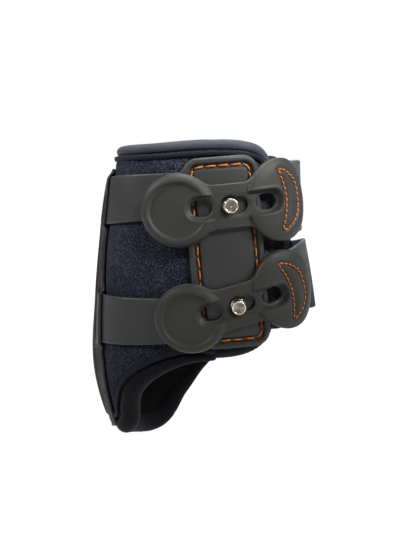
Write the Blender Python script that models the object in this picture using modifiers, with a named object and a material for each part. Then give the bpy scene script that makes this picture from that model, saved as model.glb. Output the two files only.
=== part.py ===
"""Fetlock boot: a padded wrap with a moulded rear shell, closed by two rubber tabs on studs.

Each piece of the wrap is drawn flat, the way it is cut or moulded, and is then laid round the
wall, the outer face of the padded liner. A flat piece has X along the way round, Y up the leg
and Z out from the wall. The leg's axis is the world's Z, the front of the leg is +X and the
closure side is -Y.
"""

import math

import bmesh
import bpy
import numpy as np
from mathutils import Matrix

# The wall: its reaches out from the leg's axis, at six levels
WALL_HEIGHT = 0.205
FRONT_REACH = 0.0735
REAR_REACH = 0.0622
SIDE_REACH = 0.051
LEVEL_HEIGHT_SHARES = (0.0, 0.12, 0.29, 0.51, 0.76, 1.0)
FRONT_REACH_SHARES = (0.89, 0.93, 0.985, 1.0, 0.93, 0.82)
REAR_REACH_SHARES = (0.68, 0.865, 1.0, 0.96, 0.865, 0.73)
SIDE_REACH_SHARES = (0.706, 0.765, 0.833, 0.912, 0.99, 1.0)
SECTION_SQUARENESS = 2.5

# Shared clearances and working tolerances
LAYER_GAP = 0.0003
WELD = 0.000001
CUT_OVERRUN = 0.002
JOIN_OVERLAP = 0.0008
MOULD_LEDGE = 0.0002
PATH_STEP = 0.008
ROUND_STEPS = 20
DISC_STEPS = 30

# Liner, edge rolls, bindings and piping
LINER_THICKNESS = 0.005
TOP_ROLL_RADIUS = 0.0036
CUP_ROLL_RADIUS = 0.0068
CUP_ROLL_NEAR_SHARE = 0.46
CUP_ROLL_FAR_SHARE = 0.62
CUP_ROLL_TUCK_SHARES = (0, 0, 0.25, 1, 1, 1, 0.6, 0, 0)
CLOSURE_BINDING_RADIUS = 0.0029
SHELL_BINDING_RADIUS = 0.0022
PIPING_RADIUS = 0.0008
PIPING_INSET = 0.0005
LINER_BEND_STEP = 0.010
LINER_HEIGHT_STEP = 0.021

# Liner outline, as shares of the girth round the wall and of the wall's height
TOP_EDGE_SHARES = (
    (-0.60, 0.962),
    (-0.45, 0.962),
    (-0.30, 0.962),
    (-0.17, 0.962),
    (-0.05, 0.962),
    (0.03, 0.970),
    (0.09, 0.972),
)
NEAR_TOP_CORNER_SHARES = ((0.125, 0.968), (0.148, 0.957), (0.159, 0.929), (0.1602, 0.888))
NEAR_FRONT_EDGE_SHARES = ((0.157, 0.81), (0.1535, 0.70), (0.152, 0.585), (0.151, 0.495))
NEAR_LOW_CORNER_SHARES = ((0.147, 0.455), (0.138, 0.425), (0.120, 0.402), (0.095, 0.388))
NEAR_LOWER_EDGE_SHARES = (
    (0.065, 0.382),
    (0.035, 0.380),
    (0.008, 0.374),
    (-0.018, 0.361),
    (-0.048, 0.338),
    (-0.083, 0.300),
    (-0.111, 0.251),
    (-0.129, 0.190),
    (-0.138, 0.146),
)
REAR_LOWER_EDGE_SHARES = (
    (-0.152, 0.127),
    (-0.182, 0.112),
    (-0.232, 0.084),
    (-0.280, 0.068),
    (-0.318, 0.071),
    (-0.354, 0.095),
)
FAR_LOWER_EDGE_SHARES = (
    (-0.392, 0.140),
    (-0.428, 0.188),
    (-0.460, 0.243),
    (-0.492, 0.297),
    (-0.530, 0.343),
    (-0.575, 0.376),
    (-0.615, 0.390),
)
FAR_LOW_CORNER_SHARES = ((-0.640, 0.400), (-0.655, 0.425), (-0.660, 0.460))
FAR_FRONT_EDGE_SHARES = ((-0.660, 0.60), (-0.660, 0.75), (-0.660, 0.86))
FAR_TOP_CORNER_SHARES = ((-0.659, 0.915), (-0.652, 0.948), (-0.634, 0.961))

# Rear shell and the shock pad under it
PAD_THICKNESS = 0.0023
PAD_INSET = 0.005
PAD_ARM_GAP = 0.002
SHELL_FLANGE = 0.0014
SHELL_RISE = 0.0007
SHELL_FLANGE_WIDTH = 0.0065
SHELL_BEVEL = 0.0005
SHELL_LOWER_INSET = 0.0028
SHELL_LOWER_OVERLAP = 0.0060
SHELL_LOWER_OVERLAP_SHARES = (0, 0, 0.15, 1, 1, 1, 0.7, 0.2, 0)
SHELL_TOP_SHARE = 0.934
SHELL_FRONT_GIRTH_SHARE = -0.648
PAD_FRONT_GIRTH_SHARE = -0.600
PAD_NEAR_HEIGHT_SHARES = (0.90, 0.70, 0.50, 0.30, 0.20)
SHELL_NEAR_EDGE_SHARES = (
    (-0.1455, 0.90),
    (-0.1455, 0.83),
    (-0.1440, 0.74),
    (-0.1440, 0.64),
    (-0.1455, 0.55),
    (-0.1465, 0.46),
    (-0.1450, 0.37),
    (-0.1405, 0.31),
    (-0.1355, 0.24),
    (-0.1330, 0.20),
)
STRIKE_GUARD_WIDTH = 0.062
STRIKE_GUARD_HEIGHT = 0.076
STRIKE_GUARD_RISE = 0.0014
STRIKE_GUARD_GIRTH_SHARE = -0.475
STRIKE_GUARD_HEIGHT_SHARE = 0.56

# Closure plate and its two arms, at true arc lengths on the closure side
PLATE_WIDTH = 0.0445
PLATE_TOP_MARGIN = 0.0268
PLATE_BOTTOM_MARGIN = 0.0272
PLATE_CORNER = 0.0095
PLATE_LEAN_DEG = 4.6
PLATE_ARC = 0.0305
PLATE_MIDDLE_SHARE = 0.672
PLATE_LIFT = 0.0006
PLATE_THICKNESS = 0.0023
RIM_WIDTH = 0.0040
RIM_RISE = 0.0012
GROOVE_WIDTH = 0.0018
GROOVE_DEPTH = 0.0010
ARM_THICKNESS = 0.0020
ARM_TUCK = 0.0060
UPPER_ARM_RISE = 0.0319
UPPER_ARM_WIDTH = 0.0305
LOWER_ARM_FALL = 0.0446
LOWER_ARM_WIDTH = 0.0325
ARM_TOP_RISE = 0.0026
ARM_BOTTOM_RISE = 0.0080
EDGE_BEVEL = 0.0005
CLOSURE_BEND_STEP = 0.0075
CLOSURE_HEIGHT_STEP = 0.0235

# Studs and the washers that hold them behind the plate
STUD_SIDE_OFFSET = 0.0035
STUD_HEAD_RADIUS = 0.00435
STUD_HEAD_HEIGHT = 0.0026
STUD_DIMPLE_RADIUS = 0.0009
STUD_DIMPLE_DEPTH = 0.0005
STUD_NECK_RADIUS = 0.0022
STUD_FLANGE_RADIUS = 0.0044
STUD_FLANGE_HEIGHT = 0.0010
STUD_HEIGHT = 0.0076
STUD_SHANK_RADIUS = 0.0017
WASHER_RADIUS = 0.0070
WASHER_THICKNESS = 0.0009

# Rubber tabs, measured from the middle hole, which sits round the stud
TAB_NECK_THICKNESS = 0.0030
TAB_NECK_WIDTH = 0.0280
TAB_NECK_FILLET = 0.0060
GRIP_DISC_RADIUS = 0.0215
GRIP_DISC_OFFSET = 0.0290
STRAP_DISC_RADIUS = 0.0245
STRAP_DISC_OFFSET = 0.0295
DISC_HEIGHT = 0.0062
GRIP_FIELD_DROP = 0.0014
GRIP_RIDGE_WIDTH = 0.0026
GRIP_BEVEL_WIDTH = 0.0040
HOLE_PITCH = 0.0190
HOLE_RADIUS = 0.0056
HOLE_LOBE_RADIUS = 0.0048
HOLE_LOBE_OFFSET = 0.0049
CHANNEL_WIDTH = 0.0150
CHANNEL_MARGIN = 0.0016
CHANNEL_DROP = 0.0002
CRESCENT_GROOVE_RADIUS = 0.0010
CRESCENT_TIP_OFFSET = 0.0014
CRESCENT_HALF_HEIGHT = 0.0182
CRESCENT_OUTER_BULGE = 0.0134
CRESCENT_INNER_BULGE = 0.0047
UPPER_TAB_SLOPE_DEG = 5.7
LOWER_TAB_SLOPE_DEG = 16.5
TAB_SPACING = 0.0048
TAB_BEND_STEP = 0.0075
TAB_HEIGHT_STEP = 0.030

# Elastic straps
STRAP_WIDTH = 0.0440
STRAP_THICKNESS = 0.0018
TONGUE_LENGTH = 0.0215
TONGUE_SIDE_CLEARANCE = 0.0008
STRAP_CLIMB_START_SHARE = 0.16
STRAP_CLIMB_END_SHARE = 0.62
STRAP_UNDER_SHELL = 0.0150
UPPER_STRAP_END_SHARE = 0.824
STRAP_END_SPACING = 0.0070
STRAP_STEP = 0.0055
STRAP_TURN_LENGTH = 0.007


class Wall:
    """The liner's outer face: a rounded oval round the leg's axis that changes with height.

    A turn is an angle round the axis: 0 at the middle of the closure side, positive towards
    the front. An arc is the length along the oval from turn 0 at one height.
    """

    LEVELS = 60
    TURNS = 1440

    def __init__(self):
        self.turns = np.linspace(-2 * math.pi, 2 * math.pi, 2 * self.TURNS + 1)
        self.heights = np.linspace(0, WALL_HEIGHT, self.LEVELS + 1)
        self.arcs = np.array([self.arc_row(height) for height in self.heights])
        self.pattern_girth = self.girth(WALL_HEIGHT / 2)

    def level_value(self, reach, shares, height):
        """A reach at some heights, from a smooth curve through its values at the levels."""
        at = np.asarray(height, float) / WALL_HEIGHT
        knots = np.asarray(LEVEL_HEIGHT_SHARES)
        values = np.asarray(shares)
        slopes = np.diff(values) / np.diff(knots)
        tangents = np.concatenate([slopes[:1], (slopes[:-1] + slopes[1:]) / 2, slopes[-1:]])
        i = np.clip(np.searchsorted(knots, at) - 1, 0, len(knots) - 2)
        span = knots[i + 1] - knots[i]
        t = (at - knots[i]) / span
        rise = t * t * (3 - 2 * t)
        bow = t * (1 - t) ** 2 * tangents[i] + t * t * (t - 1) * tangents[i + 1]
        return reach * (values[i] * (1 - rise) + values[i + 1] * rise + span * bow)

    def point(self, turn, height):
        """Points of the wall, from turns and heights."""
        front = self.level_value(FRONT_REACH, FRONT_REACH_SHARES, height)
        rear = self.level_value(REAR_REACH, REAR_REACH_SHARES, height)
        side = self.level_value(SIDE_REACH, SIDE_REACH_SHARES, height)
        forward, across = np.sin(turn), -np.cos(turn)
        lengthwise = np.where(forward > 0, front, rear)
        power = SECTION_SQUARENESS
        squared = np.abs(forward / lengthwise) ** power + np.abs(across / side) ** power
        radius = squared ** (-1 / power)
        return np.stack([radius * forward, radius * across, height + 0 * radius], axis=-1)

    def normal(self, turn, height):
        """Unit normals of the wall, pointing away from the leg."""
        small_turn = 1e-4
        small_height = small_turn * WALL_HEIGHT
        round_it = self.point(turn + small_turn, height) - self.point(turn - small_turn, height)
        up_it = self.point(turn, height + small_height) - self.point(turn, height - small_height)
        normal = np.cross(round_it, up_it)
        return normal / np.linalg.norm(normal, axis=-1, keepdims=True)

    def arc_row(self, height):
        """The arc at each of the wall's turns, at one height."""
        ring = self.point(self.turns, np.full(self.turns.shape, height))
        lengths = np.linalg.norm(np.diff(ring, axis=0), axis=1)
        along = np.concatenate([[0], np.cumsum(lengths)])
        return along - along[self.TURNS]

    def girth(self, height):
        """The length once round the wall at one height."""
        row = self.arc_row(height)
        return row[self.TURNS + self.TURNS // 2] - row[self.TURNS // 2]

    def turn_at(self, arc, height):
        """Turns from arcs and heights."""
        level = np.clip(np.asarray(height) / WALL_HEIGHT, 0, 1) * self.LEVELS
        low = np.minimum(level.astype(int), self.LEVELS - 1)
        share = level - low
        turns = np.empty(len(arc))
        for k, (a, i, s) in enumerate(zip(arc, low, share)):
            below = np.interp(a, self.arcs[i], self.turns)
            above = np.interp(a, self.arcs[i + 1], self.turns)
            turns[k] = below * (1 - s) + above * s
        return turns

    def ease(self, height):
        """How much a pattern is stretched or eased to the girth at each height."""
        level = np.clip(np.asarray(height), 0, WALL_HEIGHT)
        girths = np.array([row[self.TURNS + self.TURNS // 2] for row in self.arcs])
        girths -= np.array([row[self.TURNS // 2] for row in self.arcs])
        return np.interp(level, self.heights, girths) / self.pattern_girth

    def lay(self, flat, stretched):
        """World points from flat ones, at true arc length or stretched to the girth."""
        flat = np.asarray(flat, float)
        arc, height, lift = flat[:, 0], flat[:, 1], flat[:, 2]
        if stretched:
            arc = arc * self.ease(height)
        turn = self.turn_at(arc, height)
        return self.point(turn, height) + lift[:, None] * self.normal(turn, height)


def clear_scene():
    """Removes every object that the scene starts with."""
    for thing in list(bpy.data.objects):
        bpy.data.objects.remove(thing, do_unlink=True)


def material(name, colour, roughness, metallic=0.0):
    """A plain surface for one piece."""
    made = bpy.data.materials.new(name)
    made.use_nodes = True
    shader = made.node_tree.nodes["Principled BSDF"]
    shader.inputs["Base Color"].default_value = (*colour, 1)
    shader.inputs["Roughness"].default_value = roughness
    shader.inputs["Metallic"].default_value = metallic
    return made


def object_from(name, mesh):
    """A new object in the parts' collection."""
    made = bpy.data.objects.new(name, mesh)
    PARTS.objects.link(made)
    return made


def settle(thing):
    """Replaces an object's mesh and modifiers by the mesh that they make."""
    bpy.context.view_layer.update()
    evaluated = thing.evaluated_get(bpy.context.evaluated_depsgraph_get())
    mesh = bpy.data.meshes.new_from_object(evaluated)
    if thing.type == "MESH":
        thing.modifiers.clear()
        thing.data = mesh
        return thing
    made = object_from(thing.name + "_mesh", mesh)
    made.matrix_world = thing.matrix_world
    bpy.data.objects.remove(thing, do_unlink=True)
    return made


def edit(thing, change):
    """Runs a change on an object's mesh through bmesh."""
    bm = bmesh.new()
    bm.from_mesh(thing.data)
    change(bm)
    bm.to_mesh(thing.data)
    bm.free()
    return thing


def combine(body, tool, operation):
    """Joins a tool to a body or cuts it away, and uses the tool up."""
    modifier = body.modifiers.new(operation.lower(), "BOOLEAN")
    modifier.operation = operation
    modifier.solver = "EXACT"
    modifier.object = tool
    settle(body)
    bpy.data.objects.remove(tool, do_unlink=True)
    return body


def bevelled(thing, width, segments=1):
    """Breaks an object's sharp edges."""
    modifier = thing.modifiers.new("edges", "BEVEL")
    modifier.width = width
    modifier.segments = segments
    modifier.limit_method = "ANGLE"
    modifier.angle_limit = math.radians(50)
    return settle(thing)


def plate_of(name, loops, bottom, thickness):
    """A flat plate inside closed outlines, from bottom upwards along Z."""
    curve = bpy.data.curves.new(name, "CURVE")
    curve.dimensions = "2D"
    curve.fill_mode = "BOTH"
    curve.extrude = thickness / 2
    for loop in loops:
        spline = curve.splines.new("POLY")
        spline.points.add(len(loop) - 1)
        for point, (x, y) in zip(spline.points, loop):
            point.co = (x, y, 0, 1)
        spline.use_cyclic_u = True
    drawn = object_from(name, curve)
    drawn.location.z = bottom + thickness / 2
    made = settle(drawn)
    made.data.transform(made.matrix_world)
    made.matrix_world = Matrix.Identity(4)

    def tidy(bm):
        bmesh.ops.remove_doubles(bm, verts=bm.verts, dist=WELD)
        if len(loops) == 1:
            bmesh.ops.dissolve_limit(
                bm, angle_limit=math.radians(1), verts=bm.verts, edges=bm.edges
            )
        bmesh.ops.recalc_face_normals(bm, faces=bm.faces)

    return edit(made, tidy)


def turned(name, profile, steps):
    """A solid turned round Z from a profile of (radius, height), from the top down."""
    mesh = bpy.data.meshes.new(name)
    edges = [(i, i + 1) for i in range(len(profile) - 1)]
    mesh.from_pydata([(radius, 0, height) for radius, height in profile], edges, [])
    made = object_from(name, mesh)
    screw = made.modifiers.new("turn", "SCREW")
    screw.axis = "Z"
    screw.steps = steps
    screw.render_steps = steps
    screw.use_merge_vertices = True
    screw.merge_threshold = WELD
    screw.use_normal_calculate = False
    settle(made)

    def outward(bm):
        bmesh.ops.remove_doubles(bm, verts=bm.verts, dist=WELD)
        bmesh.ops.recalc_face_normals(bm, faces=bm.faces)

    return edit(made, outward)


def cylinder(name, radius, bottom, top, steps=ROUND_STEPS):
    """A round bar along Z."""
    return turned(name, [(0, top), (radius, top), (radius, bottom), (0, bottom)], steps)


def moved(thing, along=0.0, up=0.0, angle=0.0):
    """Turns an object's mesh about Z, then moves it on the flat."""
    thing.data.transform(Matrix.Translation((along, up, 0)) @ Matrix.Rotation(angle, 4, "Z"))
    return thing


def sliced(thing, across_step, up_step):
    """Cuts an object's faces along a grid, so that it can bend, and leaves triangles."""

    def cut(bm):
        for axis, step in ((0, across_step), (1, up_step)):
            places = [vertex.co[axis] for vertex in bm.verts]
            first = math.floor(min(places) / step) + 1
            last = math.ceil(max(places) / step)
            normal = [0, 0, 0]
            normal[axis] = 1
            for k in range(first, last):
                at = [0, 0, 0]
                at[axis] = k * step
                geometry = [*bm.verts, *bm.edges, *bm.faces]
                bmesh.ops.bisect_plane(
                    bm, geom=geometry, dist=WELD, plane_co=at, plane_no=normal
                )
        bmesh.ops.triangulate(bm, faces=bm.faces)

    return edit(thing, cut)


def laid(thing, lift=0.0, stretched=False, place=None):
    """Lays a flat piece round the wall, with its back at a lift."""
    mesh = thing.data
    flat = np.empty(len(mesh.vertices) * 3)
    mesh.vertices.foreach_get("co", flat)
    flat = flat.reshape(-1, 3)
    if place is not None:
        flat = place(flat)
    flat[:, 2] += lift
    world = WALL.lay(flat, stretched)
    mesh.vertices.foreach_set("co", world.ravel())
    mesh.update()
    return thing


def finished(thing, name, made_of, smooth_deg=38):
    """Names a piece and gives it its surface."""
    thing.name = name
    thing.data.name = name
    thing.data.materials.clear()
    thing.data.materials.append(made_of)
    if thing.type == "MESH":
        thing.data.shade_smooth()
        thing.data.set_sharp_from_angle(angle=math.radians(smooth_deg))
    return thing


def rounded_box(width, height, radius, corner_steps=4):
    """A rectangle with round corners about the origin, counter-clockwise."""
    points = []
    for corner, (sx, sy) in enumerate(((1, 1), (-1, 1), (-1, -1), (1, -1))):
        for k in range(corner_steps + 1):
            angle = math.radians(90) * (corner + k / corner_steps)
            x = sx * (width / 2 - radius) + radius * math.cos(angle)
            y = sy * (height / 2 - radius) + radius * math.sin(angle)
            points.append((x, y))
    return points


def placed(points, along, up, angle=0.0):
    """Outline points turned and moved on the flat."""
    c, s = math.cos(angle), math.sin(angle)
    return [(along + c * x - s * y, up + s * x + c * y) for x, y in points]


def smooth_through(points, closed, pieces=6):
    """A smooth curve through points, with some pieces between each pair."""
    points = np.asarray(points, float)
    count = len(points)
    curve = []
    for i in range(count if closed else count - 1):
        if closed:
            a, b, c, d = (points[(i + k) % count] for k in (-1, 0, 1, 2))
        else:
            a, b, c, d = (points[min(max(i + k, 0), count - 1)] for k in (-1, 0, 1, 2))
        for k in range(pieces):
            t = k / pieces
            bend = 2 * b + (c - a) * t
            bend = bend + (2 * a - 5 * b + 4 * c - d) * t**2
            bend = bend + (3 * b - a - 3 * c + d) * t**3
            curve.append(bend / 2)
    if not closed:
        curve.append(points[-1])
    return np.array(curve)


def evenly(line, step):
    """The same line with points about one step apart."""
    lengths = np.linalg.norm(np.diff(line, axis=0), axis=1)
    along = np.concatenate([[0], np.cumsum(lengths)])
    at = np.linspace(0, along[-1], max(2, round(along[-1] / step) + 1))
    return np.stack([np.interp(at, along, line[:, k]) for k in range(line.shape[1])], axis=1)


def pattern(shares):
    """Flat points from shares of the pattern's girth and of the wall's height."""
    return [(girth * WALL.pattern_girth, height * WALL_HEIGHT) for girth, height in shares]


def beside(line, distances):
    """A line on the right of a stretched pattern's line, at true distances from it."""
    ease = WALL.ease(line[:, 1])
    tangent = np.gradient(line, axis=0)
    tangent[:, 0] *= ease
    tangent /= np.linalg.norm(tangent, axis=1, keepdims=True)
    right = np.stack([tangent[:, 1] / ease, -tangent[:, 0]], axis=1)
    return line + right * np.asarray(distances)[:, None]


def liner_runs():
    """The runs of the liner's edge, clockwise from the far top corner, as flat lines.

    The top run ends below the near top corner, the front run goes on round the near low
    corner, the cup run follows the low edge to the far side, and the last run climbs the
    far front edge.
    """
    low_start = NEAR_LOWER_EDGE_SHARES[:1]
    far_end = FAR_LOWER_EDGE_SHARES[-1:]
    shares = {
        "top": TOP_EDGE_SHARES + NEAR_TOP_CORNER_SHARES,
        "front": NEAR_TOP_CORNER_SHARES[-1:]
        + NEAR_FRONT_EDGE_SHARES
        + NEAR_LOW_CORNER_SHARES
        + low_start,
        "cup": NEAR_LOWER_EDGE_SHARES + REAR_LOWER_EDGE_SHARES + FAR_LOWER_EDGE_SHARES,
        "far": far_end
        + FAR_LOW_CORNER_SHARES
        + FAR_FRONT_EDGE_SHARES
        + FAR_TOP_CORNER_SHARES
        + TOP_EDGE_SHARES[:1],
    }
    whole = []
    ends = {}
    for name, run in shares.items():
        start = len(whole)
        whole.extend(pattern(run)[:-1])
        ends[name] = (start, len(whole))
    pieces = 4
    curve = smooth_through(whole, closed=True, pieces=pieces)
    runs = {}
    for name, (start, end) in ends.items():
        wanted = [k % len(curve) for k in range(start * pieces, end * pieces + 1)]
        runs[name] = evenly(curve[wanted], PATH_STEP)
    return runs


def liner(runs):
    """The padded liner: one sheet that goes all the way round but for the front."""
    loop = np.concatenate([run[:-1] for run in runs.values()])[::-1]
    flat = plate_of("liner", [loop], -LINER_THICKNESS, LINER_THICKNESS)
    sliced(flat, LINER_BEND_STEP, LINER_HEIGHT_STEP)
    laid(flat, stretched=True)
    return finished(flat, "neoprene_liner", material("perforated neoprene", (0.03, 0.03, 0.05), 0.85))


def tube(name, line, radii, lifts, sides_level, made_of):
    """A round tube laid along a flat line on the wall, its thickness changing along it."""
    points = WALL.lay(np.column_stack([line, lifts]), stretched=True)
    curve = bpy.data.curves.new(name, "CURVE")
    curve.dimensions = "3D"
    curve.use_fill_caps = True
    curve.bevel_depth = max(radii)
    curve.bevel_resolution = sides_level
    spline = curve.splines.new("POLY")
    spline.points.add(len(points) - 1)
    for point, place, radius in zip(spline.points, points, radii):
        point.co = (*place, 1)
        point.radius = radius / max(radii)
    made = object_from(name, curve)
    curve.materials.append(made_of)
    return made


def spread(values, count):
    """Values drawn out evenly along a run of points."""
    return np.interp(np.linspace(0, 1, count), np.linspace(0, 1, len(values)), values)


def edge_roll(name, run, radii, made_of, sides_level=2, tuck_shares=(0, 0)):
    """A roll or binding along a run of the liner's edge.

    It is centred on the liner's thickness, or on its inner face where it is tucked in.
    """
    thick = spread(radii, len(run))
    centre = parted(beside(run, -(thick + 2 * LAYER_GAP)))
    lifts = -LINER_THICKNESS / 2 * (1 + spread(tuck_shares, len(run)))
    return tube(name, centre, list(thick), lifts, sides_level, made_of)


def piping(name, run, made_of):
    """A thin bead on the liner's face, just inside a run of its edge."""
    inside = parted(beside(run, np.full(len(run), PIPING_INSET)))
    lifts = np.full(len(run), PIPING_RADIUS + LAYER_GAP)
    return tube(name, inside, [PIPING_RADIUS] * len(run), lifts, 0, made_of)


def parted(line):
    """A line drawn back a little at both ends, so that the next piece stays clear of it."""
    line = line.copy()
    for end, inner in ((0, 1), (-1, -2)):
        step = line[inner] - line[end]
        line[end] += LAYER_GAP * step / np.linalg.norm(step)
    return line


def soft_edges(runs):
    """The rolls, bindings and piping round the liner's edge."""
    roll = material("smooth roll", (0.012, 0.013, 0.022), 0.7)
    tape = material("ribbed binding", (0.015, 0.017, 0.035), 0.9)
    bead = material("piping", (0.03, 0.032, 0.05), 0.8)
    near = CUP_ROLL_RADIUS * CUP_ROLL_NEAR_SHARE
    far = CUP_ROLL_RADIUS * CUP_ROLL_FAR_SHARE
    full = CUP_ROLL_RADIUS
    swelling = [near, (near + full) / 2, full, full, full, full, far, far, far]
    edge_roll("top_roll", runs["top"], [TOP_ROLL_RADIUS] * 2, roll)
    edge_roll("cup_roll", runs["cup"], swelling, roll, tuck_shares=CUP_ROLL_TUCK_SHARES)
    edge_roll("closure_edge_binding", runs["front"], [CLOSURE_BINDING_RADIUS] * 2, tape, 1)
    edge_roll("shell_edge_binding", runs["far"], [SHELL_BINDING_RADIUS] * 2, tape, 1)
    piping("top_piping", runs["top"], bead)
    piping("cup_piping", runs["cup"], bead)


def arm_middles():
    """The height of each arm's middle at its rear end."""
    middle = PLATE_MIDDLE_SHARE * WALL_HEIGHT
    return middle + UPPER_ARM_RISE, middle - LOWER_ARM_FALL


def arm_end(height):
    """The true arc of an arm's rear end, tucked under the shell's near edge."""
    girth_shares = [girth for girth, level in reversed(SHELL_NEAR_EDGE_SHARES)]
    level_shares = [level for girth, level in reversed(SHELL_NEAR_EDGE_SHARES)]
    edge = np.interp(height / WALL_HEIGHT, level_shares, girth_shares)
    return edge * WALL.girth(height) - ARM_TUCK


def shell_loop(runs, near_edge, front_share, top, lower_insets):
    """The outline of the shell or the pad: near edge, low edge, front edge and top."""
    low = beside(runs["cup"], spread(lower_insets, len(runs["cup"])))
    near_limit = near_edge[-1][0]
    front_limit = front_share * WALL.pattern_girth
    corner = 2 * SHELL_FLANGE_WIDTH
    low = [tuple(p) for p in low if front_limit + corner < p[0] < near_limit]
    front = [
        (front_limit, low[-1][1] + corner),
        (front_limit, top - corner),
        (front_limit + corner / 3, top - corner / 3),
        (front_limit + corner, top),
    ]
    return [*near_edge, *low, *front]


def inset_loop(loop, distance):
    """A closed outline moved inwards."""
    points = np.asarray(loop, float)
    tangent = np.roll(points, -1, axis=0) - np.roll(points, 1, axis=0)
    tangent /= np.linalg.norm(tangent, axis=1, keepdims=True)
    left = np.stack([-tangent[:, 1], tangent[:, 0]], axis=1)
    area = np.sum(points[:, 0] * np.roll(points[:, 1], -1) - np.roll(points[:, 0], -1) * points[:, 1])
    return points + left * distance * np.sign(area)


def rear_shell(runs):
    """The moulded shell: a sewn flange, a raised field and a strike guard on the far side."""
    near = smooth_through(pattern(SHELL_NEAR_EDGE_SHARES), closed=False, pieces=2)
    top = SHELL_TOP_SHARE * WALL_HEIGHT
    near = [(near[0][0] - SHELL_FLANGE_WIDTH, top), *map(tuple, near)]
    lower_insets = [
        SHELL_LOWER_INSET - share * (SHELL_LOWER_INSET + SHELL_LOWER_OVERLAP)
        for share in SHELL_LOWER_OVERLAP_SHARES
    ]
    loop = shell_loop(runs, near, SHELL_FRONT_GIRTH_SHARE, top, lower_insets)
    shell = bevelled(plate_of("shell", [loop], 0, SHELL_FLANGE), SHELL_BEVEL)
    field = inset_loop(loop, SHELL_FLANGE_WIDTH)
    raised = plate_of("field", [field], SHELL_FLANGE / 2, SHELL_FLANGE / 2 + SHELL_RISE)
    combine(shell, bevelled(raised, SHELL_RISE / 2), "UNION")
    ring = [
        (
            STRIKE_GUARD_WIDTH / 2 * math.cos(math.radians(a)),
            STRIKE_GUARD_HEIGHT / 2 * math.sin(math.radians(a)),
        )
        for a in range(0, 360, 12)
    ]
    along = STRIKE_GUARD_GIRTH_SHARE * WALL.pattern_girth
    guard = plate_of(
        "guard",
        [placed(ring, along, STRIKE_GUARD_HEIGHT_SHARE * WALL_HEIGHT)],
        SHELL_FLANGE,
        SHELL_RISE + STRIKE_GUARD_RISE,
    )
    combine(shell, bevelled(guard, STRIKE_GUARD_RISE / 2), "UNION")
    sliced(shell, LINER_BEND_STEP, LINER_HEIGHT_STEP)
    laid(shell, lift=3 * LAYER_GAP + PAD_THICKNESS, stretched=True)
    return finished(shell, "rear_shell", material("shell moulding", (0.05, 0.05, 0.05), 0.5))


def shock_pad(runs):
    """The foam pad between the liner and the shell."""
    edge = min(arm_end(height) / WALL.ease(height) for height in arm_middles()) - PAD_ARM_GAP
    near = [(edge, share * WALL_HEIGHT) for share in PAD_NEAR_HEIGHT_SHARES]
    top = SHELL_TOP_SHARE * WALL_HEIGHT - PAD_INSET
    loop = shell_loop(runs, near, PAD_FRONT_GIRTH_SHARE, top, [SHELL_LOWER_INSET + PAD_INSET] * 2)
    pad = plate_of("pad", [loop], 0, PAD_THICKNESS)
    sliced(pad, LINER_BEND_STEP, LINER_HEIGHT_STEP)
    laid(pad, lift=LAYER_GAP, stretched=True)
    return finished(pad, "shock_pad", material("foam pad", (0.08, 0.08, 0.085), 0.9))


def plate_outline(inset):
    """The leaning rounded rectangle of the closure plate, moved inwards."""
    height = PLATE_TOP_MARGIN + stud_spacing() + PLATE_BOTTOM_MARGIN
    box = rounded_box(
        PLATE_WIDTH - 2 * inset, height - 2 * inset, max(PLATE_CORNER - inset, RIM_WIDTH)
    )
    return placed(box, *plate_place(0, 0), math.radians(PLATE_LEAN_DEG))


def plate_place(side, up):
    """A place on the wall, from an offset in the leaning plate's own directions."""
    centre = (PLATE_ARC, PLATE_MIDDLE_SHARE * WALL_HEIGHT)
    return placed([(side, up)], *centre, math.radians(PLATE_LEAN_DEG))[0]


def stud_spacing():
    """How far apart the studs are, for two tabs and their straps to lie side by side."""
    room = 2 * max(STRAP_DISC_RADIUS, STRAP_WIDTH / 2) + TAB_SPACING
    upper_rise = STRAP_DISC_OFFSET * math.sin(math.radians(UPPER_TAB_SLOPE_DEG))
    lower_rise = STRAP_DISC_OFFSET * math.sin(math.radians(LOWER_TAB_SLOPE_DEG))
    return (room + lower_rise - upper_rise) / math.cos(math.radians(PLATE_LEAN_DEG))


def stud_places():
    """The two studs, each a margin away from the plate's end."""
    middle = (PLATE_BOTTOM_MARGIN - PLATE_TOP_MARGIN) / 2
    half = stud_spacing() / 2
    return {
        "upper": plate_place(STUD_SIDE_OFFSET, middle + half),
        "lower": plate_place(STUD_SIDE_OFFSET, middle - half),
    }


def arm(name, middle, width):
    """One arm of the plate, nearly level and running back under the shell's edge."""
    inner = PLATE_ARC - PLATE_WIDTH / 4
    outer = arm_end(middle)
    low = middle - width / 2
    top = middle + width / 2
    loop = [
        (outer, low),
        (inner, low + ARM_BOTTOM_RISE),
        (inner, top + ARM_TOP_RISE),
        (outer, top),
    ]
    return bevelled(plate_of(name, [loop], 0, ARM_THICKNESS), EDGE_BEVEL)


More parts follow.
